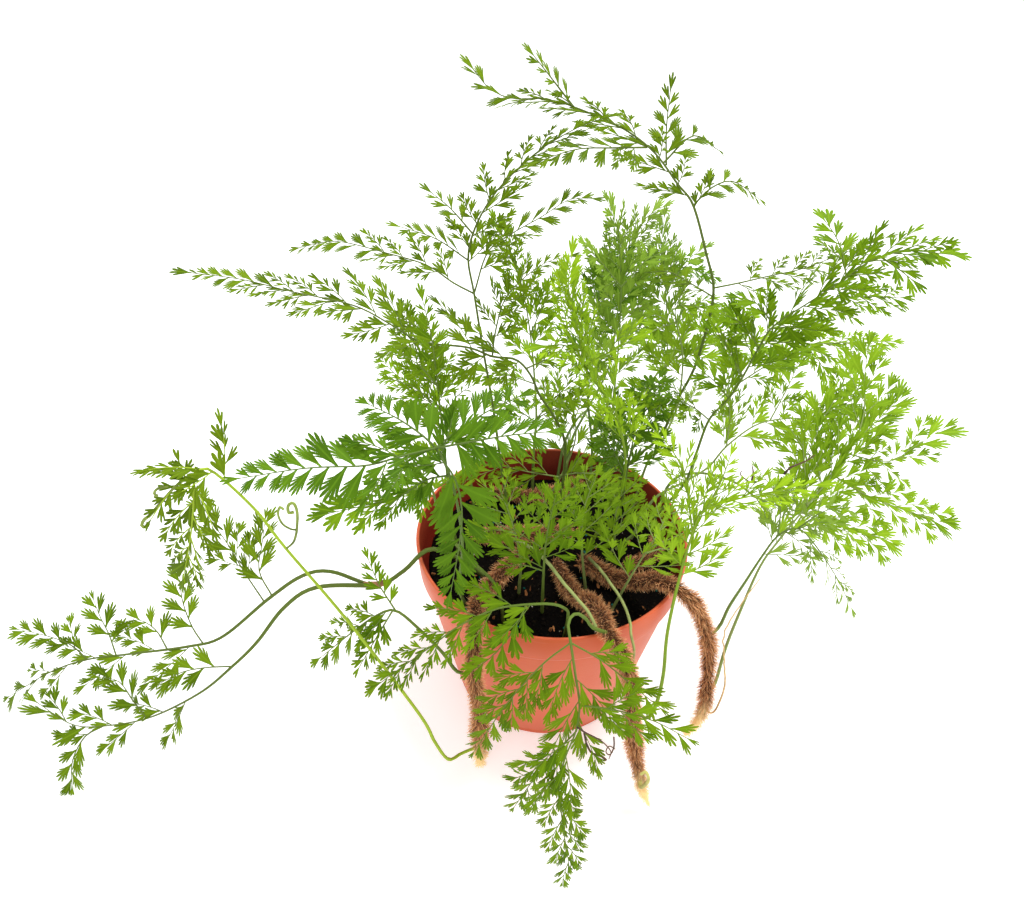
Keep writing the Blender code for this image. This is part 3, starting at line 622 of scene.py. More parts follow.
@dataclass
class Studio:
    """Pale floor, soft light and the camera that looks down on the plant."""

    camera_place: Point = (-0.0185, -0.272, 0.355)
    look_down: float = math.radians(39.25)
    roll: float = 0.027
    focal_share: float = 850 / 1024
    sensor: float = 36.0
    nearest: float = 0.01
    floor_side: float = 12.0
    floor_glow: float = 0.27
    room_light: float = 0.85
    backdrop_light: float = 1.0
    light_aim: Point = (0.0, 0.0, 0.10)
    soft_boxes: tuple[SoftBox, ...] = (
        SoftBox("key", (0.30, 0.20, 1.15), 0.42, 14.0),
        SoftBox("front", (-0.25, -0.95, 0.75), 0.7, 4.0),
    )

    def build(self) -> None:
        """Put up everything that isn't the plant."""
        self.set_camera()
        self.lay_floor()
        self.hang_lights()
        bpy.context.scene.view_settings.view_transform = "Standard"

    def set_camera(self) -> None:
        """A camera that is tipped down and rolled by a hair."""
        data = bpy.data.cameras.new("camera")
        data.sensor_width = self.sensor
        data.lens = self.sensor * self.focal_share
        data.clip_start = self.nearest
        camera = new_object("camera", data)
        tip = Matrix.Rotation(math.pi / 2 - self.look_down, 4, "X")
        camera.matrix_world = (Matrix.Translation(self.camera_place) @ tip
                               @ Matrix.Rotation(self.roll, 4, "Z"))
        bpy.context.scene.camera = camera

    def lay_floor(self) -> None:
        """One wide white sheet under the pot."""
        half = self.floor_side / 2
        corners = [(-half, -half, 0), (half, -half, 0), (half, half, 0), (-half, half, 0)]
        floor = new_object("floor", mesh_of("floor", corners, faces=[(0, 1, 2, 3)]))
        graph = ShaderGraph("studio_floor")
        haze = graph.blend(graph.noise(3.0), (0.93, 0.93, 0.93), (0.95, 0.95, 0.95))
        shader = graph.surface(haze, 0.9, 0.0, Emission_Color=(1.0, 1.0, 1.0, 1.0),
                               Emission_Strength=self.floor_glow)
        floor.data.materials.append(graph.finish(shader))

    def hang_lights(self) -> None:
        """A bright room with soft boxes, in front of a white backdrop."""
        world = bpy.data.worlds.new("studio")
        world.use_nodes = True
        sky = Graph(world.node_tree)
        sky.tree.nodes.clear()
        room, backdrop = (sky.add("ShaderNodeBackground", {
            "Color": (1.0, 1.0, 1.0, 1.0), "Strength": strength}).outputs[0]
            for strength in (self.room_light, self.backdrop_light))
        seen = sky.add("ShaderNodeLightPath").outputs["Is Camera Ray"]
        both = sky.add("ShaderNodeMixShader", {0: seen, 1: room, 2: backdrop})
        sky.add("ShaderNodeOutputWorld", {"Surface": both.outputs[0]})
        bpy.context.scene.world = world
        for box in self.soft_boxes:
            self.hang(box)

    def hang(self, box: SoftBox) -> None:
        """Hang one soft box so that it faces the plant."""
        data = bpy.data.lights.new(box.name, "AREA")
        data.size = box.side
        data.energy = box.power
        lamp = new_object(box.name, data)
        aim = Vector(self.light_aim) - Vector(box.place)
        turn = aim.to_track_quat("-Z", "Y").to_matrix().to_4x4()
        lamp.matrix_world = Matrix.Translation(box.place) @ turn


# ----------------------------------------------------------------------- pot and mix

@dataclass
class Pot:
    """The nursery pot, turned smooth, with its rim band and drain holes."""

    wall: float = 0.0016
    band: float = 0.0145        # height of the flared band below the rim
    step: float = 0.0017        # how far the band stands out from the wall
    lip_round: float = 0.0008
    shoulder: float = 0.0012    # the small fall-back of the walls beside the band
    sharp_angle: float = 50.0
    foot_radius: float = 0.0425
    turns: int = 168
    holes: int = 6
    hole_radius: float = 0.0035
    hole_circle: float = 0.029
    height: float = field(init=False)
    radius: float = field(init=False)

    def __post_init__(self) -> None:
        """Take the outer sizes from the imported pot."""
        low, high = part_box("pot")
        self.height = high.z
        self.radius = (high.x - low.x) / 2

    def profile(self) -> list[tuple[float, float, float]]:
        """Radius, height and how much painted shade it gets as an inner wall, from the
        inner floor's middle over the rim to the underside's middle."""
        band_z = self.height - self.band
        top = self.radius - self.step - self.shoulder
        rim = self.radius - self.wall
        foot, curl = self.foot_radius, self.lip_round
        lip = [(rim + curl + curl * math.cos(a), self.height - curl + curl * math.sin(a))
               for a in np.radians([165, 130, 90, 50, 15])]
        inner = [(0.0, self.wall), (foot - self.wall - 0.0006, self.wall),
                 (foot - self.wall + 0.0006, self.wall + 0.0016),
                 (top - self.wall, band_z - 0.0004),
                 (rim - self.shoulder, band_z + 0.0022)]
        outer = [(self.radius - 0.0009, band_z + 0.0008),
                 (self.radius - self.shoulder, band_z),
                 (self.radius - 0.0020, band_z - 0.0003), (top, band_z - 0.0006),
                 (top - 0.0008, band_z - 0.0060), (foot + 0.0010, 0.0044),
                 (foot + 0.0002, 0.0034), (foot + 0.0003, 0.0012), (foot - 0.0010, 0.0),
                 (foot - 0.0090, 0.0), (0.0, 0.0)]
        # painted shade: full on the inner walls, fading over the lip, none outside
        return ([(r, z, 1.0) for r, z in inner] + [(*lip[0], 0.8), (*lip[1], 0.3)]
                + [(r, z, 0.0) for r, z in lip[2:] + outer])

    def build(self) -> None:
        """Turn the pot and drill its floor."""
        rings = self.profile()
        verts, inner, faces = [], [], []
        for r, z, shade in rings:
            for k in range(self.turns):
                a = 2 * math.pi * k / self.turns
                verts.append((r * math.cos(a), r * math.sin(a), z))
                inner.append(shade)
        for i in range(len(rings) - 1):
            for k in range(self.turns):
                n = (k + 1) % self.turns
                a, b = i * self.turns, (i + 1) * self.turns
                faces.append((a + k, a + n, b + n, b + k))
        # inner carries the painted shade of each point
        mesh = mesh_of("pot_shell", verts, faces=faces, inner=np.array(inner))
        shell = bmesh.new()
        shell.from_mesh(mesh)
        bmesh.ops.remove_doubles(shell, verts=shell.verts[:], dist=0.000001)
        bmesh.ops.recalc_face_normals(shell, faces=shell.faces[:])
        pot = new_object("terracotta_pot", keep_shape(shell, mesh))
        self.drill(pot)
        pot.data.shade_smooth()
        pot.data.set_sharp_from_angle(angle=math.radians(self.sharp_angle))
        pot.data.materials.clear()
        pot.data.materials.append(PotFinish().material())
        place_piece(pot, "pot_plastic", "pot")

    def drill(self, pot: bpy.types.Object) -> None:
        """Cut the drain holes through the floor and keep the result as a plain mesh."""
        cutters = []
        for k in range(self.holes):
            angle = 2 * math.pi * k / self.holes
            drill = bmesh.new()
            bmesh.ops.create_cone(drill, cap_ends=True, segments=20, depth=self.wall * 4,
                                  radius1=self.hole_radius, radius2=self.hole_radius)
            mesh = keep_shape(drill, bpy.data.meshes.new("drill"))
            cutter = new_object(f"drill_{k}", mesh)
            cutter.location = (self.hole_circle * math.cos(angle),
                               self.hole_circle * math.sin(angle), self.wall / 2)
            cut = pot.modifiers.new(f"drain_{k}", "BOOLEAN")
            cut.operation = "DIFFERENCE"
            cut.object = cutter
            cutters.append(cutter)
        drilled = plain_mesh(pot)
        pot.modifiers.clear()
        pot.data = drilled
        for cutter in cutters:
            bpy.data.objects.remove(cutter)


@dataclass(frozen=True)
class Grain:
    """One kind of loose matter on the soil."""

    name: str
    finish: EarthFinish
    per_square_metre: float
    smallest: float
    largest: float
    stretch: Point
    seed: int
    sink: float = 0.0


@dataclass
class PottingMix:
    """The soil plug with a crumbly top, and what lies loose on it."""

    rings: int = 26
    turns: int = 110
    relief: float = 0.0011
    relief_scale: float = 260.0
    edge_radius: float = 0.0548
    foot_radius: float = 0.0398
    lumps: int = 5              # shapes of each kind of grain
    lump_dent: float = 0.55
    grains: tuple[Grain, ...] = (
        Grain("peat_crumbs", PEAT, 250000, 0.0006, 0.0019, (1.0, 0.8, 0.6), 3),
        Grain("bark_chips", BARK, 15000, 0.0014, 0.0052, (1.0, 0.34, 0.20), 5),
        Grain("perlite_grains", PERLITE, 9000, 0.0007, 0.0016, (1.0, 0.9, 0.8), 8, -0.0003),
        Grain("feed_granules", GRANULE, 4200, 0.0011, 0.0016, (1.0, 1.0, 0.9), 13, -0.0003),
    )

    def top(self, x: float, y: float) -> float:
        """Height of the soil's crumbly top at a place."""
        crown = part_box("soil")[1].z - SOIL_EDGE_Z
        share = min(1.0, math.hypot(x, y) / self.edge_radius)
        rough = noise.fractal(Vector((x, y, 0.3)) * self.relief_scale, 0.8, 2.1, 4)
        return (SOIL_EDGE_Z + crown * (1 - share ** 2)
                + self.relief * rough * (1 - share ** 6))

    def build(self) -> None:
        """Make the plug, then scatter each kind of grain over its top."""
        radii = [self.edge_radius * k / self.rings for k in range(1, self.rings + 1)]
        spots = [(r, 2 * math.pi * k / self.turns) for r in radii for k in range(self.turns)]
        verts = [(r * math.cos(a), r * math.sin(a)) for r, a in spots]
        verts = [(0.0, 0.0)] + verts
        verts = [(x, y, self.top(x, y)) for x, y in verts]
        faces = [(0, 1 + k, 1 + (k + 1) % self.turns) for k in range(self.turns)]
        for i in range(self.rings - 1):
            a, b = 1 + i * self.turns, 1 + (i + 1) * self.turns
            faces += [(a + k, b + k, b + (k + 1) % self.turns, a + (k + 1) % self.turns)
                      for k in range(self.turns)]
        surface = mesh_of("soil_top", verts, faces=faces)
        self.scatter_all(surface)
        self.close_plug(verts, faces)

    def close_plug(self, verts: list[Point], faces: list[tuple[int, ...]]) -> None:
        """Add the plug's wall and underside to its top."""
        floor_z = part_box("soil")[0].z
        first = 1 + (self.rings - 1) * self.turns
        base = len(verts)
        edge, foot = self.edge_radius, self.foot_radius
        verts = verts + [(x / edge * foot, y / edge * foot, floor_z)
                         for x, y, _ in verts[first:]] + [(0.0, 0.0, floor_z)]
        for k in range(self.turns):
            n = (k + 1) % self.turns
            faces = faces + [(first + k, base + k, base + n, first + n),
                             (base + k, base + self.turns, base + n)]
        plug = new_object("potting_soil", mesh_of("potting_soil", verts, faces=faces))
        plug.data.shade_smooth()
        plug.data.materials.append(PEAT.material())
        place_piece(plug, "potting_mix", "soil")

    def scatter_all(self, surface: bpy.types.Mesh) -> None:
        """Grow every kind of grain on the soil's top."""
        tree = self.tree()
        for grain in self.grains:
            kit = new_kit(grain.name, [self.lump(grain, k) for k in range(self.lumps)])
            piece = tree.run(grain.name, surface.copy(), {
                "Grains": kit, "Per Square Metre": grain.per_square_metre,
                "Smallest": grain.smallest, "Largest": grain.largest,
                "Sink": grain.sink, "Seed": grain.seed,
                "Finish": grain.finish.material()})
            drop_kit(kit)
            place_piece(piece, "potting_mix")

    def lump(self, grain: Grain, number: int) -> bpy.types.Mesh:
        """An irregular grain of unit length."""
        shape = bmesh.new()
        bmesh.ops.create_icosphere(shape, subdivisions=1, radius=0.5)
        for vert in shape.verts:
            spot = vert.co * 2.3 + Vector((number * 7.1, grain.seed, 0))
            push = 1 + self.lump_dent * noise.noise(spot)
            vert.co = Vector(c * s * push for c, s in zip(vert.co, grain.stretch))
        return keep_shape(shape, bpy.data.meshes.new("grain"))

    def tree(self) -> GrowthTree:
        """Grains thrown at random on a surface, turned any way."""
        tree = GrowthTree("scatter_grains", {
            "Grains": "Collection", "Per Square Metre": "Float", "Smallest": "Float",
            "Largest": "Float", "Sink": "Float", "Seed": "Int", "Finish": "Material"})
        given = tree.given
        spots = tree.add("GeometryNodeDistributePointsOnFaces", {
            "Mesh": given["Geometry"], "Density": given["Per Square Metre"],
            "Seed": given["Seed"]}).outputs[0]
        spots = tree.store(spots, "tint", tree.random(0.0, 1.0, given["Seed"]))
        drop = tree.add("ShaderNodeCombineXYZ", {"Z": given["Sink"]}).outputs[0]
        spots = tree.pushed(spots, drop)
        turn = tree.random((0.0, 0.0, 0.0), (6.28, 6.28, 6.28), given["Seed"])
        size = tree.add("ShaderNodeMix", {
            0: tree.random(0.0, 1.0, 91), 2: given["Smallest"], 3: given["Largest"]},
            data_type="FLOAT").outputs[0]
        which = tree.which(self.lumps, given["Seed"])
        tree.finish(tree.planted(spots, given["Grains"], which, turn, size))
        return tree


# ------------------------------------------------------------------------- rhizomes

RHIZOMES: dict[str, list[Point]] = {
    "rhizome_left": [(-12, -2), (-22, -17), (-28, -32, 87), (-30, -43, 95), (-31, -53, 99.5),
                     (-31, -62, 100), (-31, -67, 92), (-31, -67, 76), (-30, -66, 60),
                     (-29, -65, 42), (-29, -64, 23), (-29, -63, 6)],
    "rhizome_middle": [(2, -10), (7, -24), (12, -36, 88), (15, -44, 95), (18, -55, 99.5),
                       (20, -64, 101), (24, -70, 98), (28, -72, 88), (31, -72, 74),
                       (33, -71, 58), (36, -72, 38), (39, -75, 24), (43, -78, 10),
                       (45, -80, 6)],
    "rhizome_right": [(14, -8), (26, -17), (36, -25, 88), (42, -31, 96), (49, -39, 99.5),
                      (57, -41, 93), (63, -41, 80), (67, -41, 67), (69, -42, 54),
                      (70, -44, 42), (70, -47, 31), (67, -50, 22), (63, -52, 17)],
    "rhizome_inner": [(-34, 6), (-20, 7), (-6, 8), (9, 11)],
    "rhizome_edge": [(33, -9), (42, -6), (48, 2), (49, 8)],
    "rhizome_back": [(-28, 38), (-18, 36), (-6, 35), (7, 40), (14, 46)],
}


def soil_height(x: float, y: float) -> float:
    """Height of the smooth crowned soil at a place, in metres."""
    return SOIL_EDGE_Z + SOIL_CROWN * (1 - (math.hypot(x, y) / SOIL_SPREAD) ** 2)


def to_metres(route: list[Point], lift: float) -> np.ndarray:
    """A listed route in metres; a point of two numbers is put on the soil."""
    points = []
    for point in route:
        x, y = point[0] * MM, point[1] * MM
        z = point[2] * MM if len(point) == 3 else soil_height(x, y) + lift
        points.append((x, y, z))
    return np.array(points)


@dataclass
class FurCoat:
    """Cores and fur of the creeping rhizomes."""

    lift: float = 0.0046        # height of the middle line over the soil
    core_radius: float = 0.0021
    core_sides: int = 14
    lump_scale: float = 90.0
    lump_height: float = 0.22   # as a share of the core's radius
    skin_scale: float = 330.0
    skin_relief: float = 0.0016
    hair_length: float = 0.0036
    hairs_per_square_metre: float = 4.2e6
    hair_bends: Point = (-0.30, -0.12, 0.10)
    hair_lean: float = 0.85     # how much the hairs lie towards the tip
    hair_stray: float = 0.6
    tip_length: float = 0.028
    pale_length: float = 1.6    # of the cream end, for each length of tip
    hanging_below: float = 0.05     # a rhizome that ends lower hangs over the rim
    step: float = 0.002

    def build(self) -> None:
        """Grow every rhizome and its hairs."""
        tree = self.tree()
        hairs = new_kit("hair", [self.hair(bend) for bend in self.hair_bends])
        finish = FurFinish().material()
        for seed, (name, route) in enumerate(RHIZOMES.items()):
            piece = tree.run(f"furry_{name}", self.spine(name, route), {
                "Hairs": hairs, "Per Square Metre": self.hairs_per_square_metre,
                "Hair Length": self.hair_length, "Seed": seed + 11, "Finish": finish})
            clamp_to_floor(piece)
            place_piece(piece, "rhizome_fur", name)
        drop_kit(hairs)

    def spine(self, name: str, route: list[Point]) -> bpy.types.Mesh:
        """The rhizome's middle line with its thickness, coat and ripeness."""
        points = smooth_route(to_metres(route, self.lift), self.step)
        count = len(points)
        left = (count - 1 - np.arange(count)) * self.step
        hangs = points[-1][2] < self.hanging_below
        near_tip = np.clip(1 - left / self.tip_length, 0, 1) if hangs else np.zeros(count)
        lumps = np.array([noise.noise(Vector(p) * self.lump_scale) for p in points])
        thick = self.core_radius * (1 + self.lump_height * lumps)
        thick *= 1 - 0.72 * near_tip ** 2.2
        coat = (1 + 0.25 * lumps) * (1 - 0.25 * near_tip)
        pale = self.tip_length * self.pale_length
        ripe = np.clip(1 - left / pale, 0, 1) if hangs else near_tip
        return mesh_of(name, points, chain(count), thickness=thick, coat=coat, ripe=ripe)

    def hair(self, bend: float) -> bpy.types.Mesh:
        """A thin bent hair of unit length along +Y."""
        rows = ((0.0, 0.034), (0.35, 0.030), (0.72, 0.018))
        verts = [(side * w, v, bend * v * v) for v, w in rows for side in (-1, 1)]
        verts.append((0.0, 1.0, bend))
        faces = [(0, 1, 3, 2), (2, 3, 5, 4), (4, 5, 6)]
        return mesh_of("hair", verts, faces=faces, along=[v for _, v, _ in verts])

    def tree(self) -> GrowthTree:
        """A lumpy core swept along its spine, with hairs that lie towards its tip."""
        tree = GrowthTree("fur_coat", {
            "Hairs": "Collection", "Per Square Metre": "Float", "Hair Length": "Float",
            "Seed": "Int", "Finish": "Material"})
        given = tree.given
        flow = tree.add("GeometryNodeInputTangent").outputs[0]
        line = tree.store(tree.curve(given["Geometry"]), "flow", flow, "FLOAT_VECTOR")
        lumps = tree.add("ShaderNodeTexNoise", {"Scale": self.skin_scale, "Detail": 2.0})
        lumps = tree.math("SUBTRACT", lumps.outputs[0], 0.5)
        out = tree.add("GeometryNodeInputNormal").outputs[0]
        push = tree.scaled(out, tree.math("MULTIPLY", lumps, self.skin_relief))
        core = tree.pushed(tree.swept(line, self.core_sides), push)
        spread = tree.add("GeometryNodeDistributePointsOnFaces", {
            "Mesh": core, "Density": given["Per Square Metre"], "Seed": given["Seed"]})
        spots = tree.store(spread.outputs[0], "tint", tree.random(0.0, 1.0, 7))
        lean = tree.scaled(tree.named("flow", "FLOAT_VECTOR"), self.hair_lean)
        most = self.hair_stray
        stray = tree.random((-most, -most, -most), (most, most, most), given["Seed"])
        lie = tree.vector("ADD", tree.vector("ADD", lean, spread.outputs[1]), stray)
        face = tree.random((-1.0, -1.0, -1.0), (1.0, 1.0, 1.0), 29)
        length = tree.math("MULTIPLY", tree.random(0.5, 1.1, 17), tree.named("coat"))
        length = tree.math("MULTIPLY", length, given["Hair Length"])
        which = tree.which(len(self.hair_bends), 43)
        hairs = tree.planted(spots, given["Hairs"], which, tree.turned(face, lie), length)
        tree.finish(tree.joined(core, hairs))
        return tree


def clamp_to_floor(piece: bpy.types.Object) -> None:
    """Lift any point that would be under the surface that the pot stands on."""
    mesh = piece.data
    places = np.zeros(len(mesh.vertices) * 3, np.float32)
    mesh.vertices.foreach_get("co", places)
    places[2::3] = np.maximum(places[2::3], FLOOR_GAP)
    mesh.vertices.foreach_set("co", places)
    mesh.update()


# -------------------------------------------------------------------------- leaflets

@dataclass(frozen=True)
class Lobe:
    """One lobe of a leaflet: its angle from the midrib, its reach and its width."""

    angle: float
    reach: float
    width: float


class Cut(IntEnum):
    NEEDLE = 0
    FORK = 1
    TRIDENT = 2
    HAND = 3
    SPRAY = 4
    RIGHT_BLADE = 5
    LEFT_BLADE = 6


class Leaflets:
    """The leaflet shapes, all of unit length along +Y and facing +Z."""

    PALM = 0.26                 # length of the undivided foot
    SLIT = 0.60                 # a slit goes down to this share of the shorter lobe
    STALK = 0.024               # half widths at the foot and below the palm
    HEEL = 0.042
    # A lobe's margin: how far along its reach and how far across its width.
    SHOULDER = (0.42, 0.60)
    MARGIN = ((0.78, 0.48), (0.92, 0.34), (1.0, 0.06), (0.94, -0.28), (0.78, -0.48))
    TEETH = (0.34, 0.47, 0.60, 0.71, 0.76, 0.69, 0.55)      # reaches down a long blade
    HALF_WIDTH = 0.2            # where the blade counts as fully off its rib
    CUP = 0.55                  # how much its sides curl up
    NOD = 0.16                  # how much its tip bends down
    RISE = 0.05                 # how steeply it rises from its foot

    def __init__(self) -> None:
        """Shape each kind of leaflet once."""
        shapes = [
            self.fan([Lobe(3, 0.74, 0.19)]),
            self.fan([Lobe(13, 0.62, 0.135), Lobe(-7, 0.74, 0.145)]),
            self.fan([Lobe(20, 0.57, 0.112), Lobe(3, 0.74, 0.122), Lobe(-14, 0.63, 0.112)]),
            self.fan([Lobe(25, 0.48, 0.100), Lobe(11, 0.66, 0.118), Lobe(-3, 0.75, 0.122),
                      Lobe(-18, 0.59, 0.110)]),
            self.fan([Lobe(36, 0.36, 0.062), Lobe(23, 0.52, 0.080), Lobe(11, 0.67, 0.090),
                      Lobe(-1, 0.75, 0.092), Lobe(-12, 0.66, 0.090), Lobe(-25, 0.48, 0.080)]),
            self.fan(self.teeth(1)),
            self.fan(self.teeth(-1)[::-1]),
        ]
        self.kit = new_kit("leaflet", shapes)

    def teeth(self, hand: int) -> list[Lobe]:
        """The teeth of a long blade, lower and shorter down its right or left side."""
        return [Lobe(hand * (36 - 9.5 * k), reach, reach * 0.125)
                for k, reach in enumerate(self.TEETH)]

    def fan(self, lobes: list[Lobe]) -> bpy.types.Mesh:
        """A wedge-shaped leaflet, cut into fingers that point forward.

        Args:
            lobes: the fingers, from right to left.

        Returns:
            The leaflet.
        """
        centre = np.array([0.0, self.PALM])
        foot = [(self.STALK, 0.0), (self.HEEL, self.PALM * 0.6)]
        outline = list(foot)
        for number, lobe in enumerate(lobes):
            out, across = self.axes(lobe.angle)
            margin = list(self.MARGIN)
            if number == 0:
                margin.insert(0, self.SHOULDER)
            if number + 1 == len(lobes):
                margin.append((self.SHOULDER[0], -self.SHOULDER[1]))
            for reach, width in margin:
                outline.append(centre + out * lobe.reach * reach + across * lobe.width * width)
            if number + 1 < len(lobes):
                beside = lobes[number + 1]
                slit = self.SLIT * min(lobe.reach, beside.reach)
                outline.append(centre + slit * self.axes((lobe.angle + beside.angle) / 2)[0])
        outline += [(-x, y) for x, y in reversed(foot)]
        return self.sheet(outline)

    def axes(self, angle: float) -> tuple[np.ndarray, np.ndarray]:
        """The directions along and across a lobe at an angle in degrees."""
        a = math.radians(angle)
        return (np.array([math.sin(a), math.cos(a)]), np.array([math.cos(a), -math.sin(a)]))

    def sheet(self, outline: list[Any]) -> bpy.types.Mesh:
        """Fill an outline and cup it, so that light plays over it."""
        flat = [Vector((float(x), float(y), 0.0)) for x, y in outline]
        faces = [tuple(face) for face in tessellate_polygon([flat])]
        verts = [(p.x, p.y, self.CUP * p.x * p.x - self.NOD * p.y * p.y + self.RISE * p.y)
                 for p in flat]
        mesh = mesh_of("leaflet", verts, faces=faces, along=[p.y for p in flat],
                       across=[max(-1.0, min(1.0, p.x / self.HALF_WIDTH)) for p in flat])
        shape = bmesh.new()
        shape.from_mesh(mesh)
        for face in shape.faces:
            if face.normal.z < 0:
                face.normal_flip()
        keep_shape(shape, mesh)
        mesh.shade_smooth()
        return mesh


# ---------------------------------------------------------------------------- fronds

@dataclass(frozen=True)
class Habit:
    """How a frond carries its pinnae and leaflets; lengths in millimetres."""

    taper: float = 0.22         # a pinna's length for each length of stem beyond it
    shortest: float = 3.6
    longest: float = 20.0
    gap: float = 0.34           # from pinna to pinna, for each length of pinna
    angle_base: float = 58.0
    angle_tip: float = 27.0
    droop: float = 0.18
    keel: float = 0.10
    whole: float = 9.5          # a pinna up to this long is one leaflet
    toothed: bool = True        # such a leaflet has teeth down one side, else a hand's
    leaflet_share: float = 0.52
    leaflet_least: float = 3.2
    leaflet_longest: float = 11.0
    leaflet_gap: float = 0.32   # from leaflet to leaflet, for each length of leaflet
    leaflet_width: float = 1.05
    scatter: float = 0.13


LACY = Habit()
BROAD = Habit(taper=0.18, shortest=11.0, longest=27, gap=0.30, angle_base=42, angle_tip=24,
              whole=14.5, toothed=False, leaflet_least=8.0, leaflet_longest=12.5,
              leaflet_gap=0.36, leaflet_width=1.0)
CLOSE = Habit(taper=0.18, shortest=11.0, longest=27, gap=0.32, angle_base=42, angle_tip=26,
              whole=12.0, toothed=False, leaflet_share=0.54, leaflet_least=7.5,
              leaflet_longest=13.0, leaflet_gap=0.25, leaflet_width=0.84)
DENSE = Habit(taper=0.26, shortest=6.5, longest=21, gap=0.20, angle_base=54, angle_tip=42,
              whole=15, leaflet_share=0.50, leaflet_gap=0.27, leaflet_width=1.10)
FULL = Habit(taper=0.21, shortest=7.5, longest=21, gap=0.30, angle_base=52, whole=10.0,
             toothed=False, leaflet_share=0.50, leaflet_least=4.4, leaflet_longest=10.5,
             leaflet_gap=0.31, leaflet_width=1.18)
SLENDER = Habit(taper=0.20, shortest=5.5, longest=17, gap=0.36, angle_base=50,
                angle_tip=24)
HANGING = Habit(taper=0.24, shortest=6.0, longest=22, droop=0.55, gap=0.32, whole=9.0,
                leaflet_width=0.72, scatter=0.22)
YOUNG = Habit(taper=0.25, shortest=5.0, longest=17, gap=0.26, angle_base=48, droop=-0.1,
              whole=8.0, leaflet_longest=9, leaflet_width=0.85, scatter=0.28)
LUSH = Habit(taper=0.38, shortest=10.0, longest=30, gap=0.28, angle_base=46, angle_tip=28,
             whole=11.0, toothed=False, leaflet_share=0.50, leaflet_least=6.0,
             leaflet_longest=13, leaflet_gap=0.34, leaflet_width=0.84, scatter=0.22)

SKYWARD = (0.0, -0.45, 0.89)
TO_VIEWER = (0.0, -0.77, 0.63)
EDGE_ON = (0.0, 0.63, 0.77)


@dataclass(frozen=True)
class FrondPlan:
    """One frond: its routes in millimetres and how it is dressed."""

    name: str
    main: list[Point]
    arms: list[list[Point]]
    start: float
    habit: Habit = LACY
    green: Green = Green.FRESH
    facing: Point = SKYWARD
    arm_start: float = 0.16
    density: float = 1.0
    arm_facing: Point | None = None
    bare_arms: int = 0          # the first arms are forks of the stem, bare like it
    arm_size: float = 0.85
    stipe: float = 0.78         # the stem's radius at its foot, in millimetres


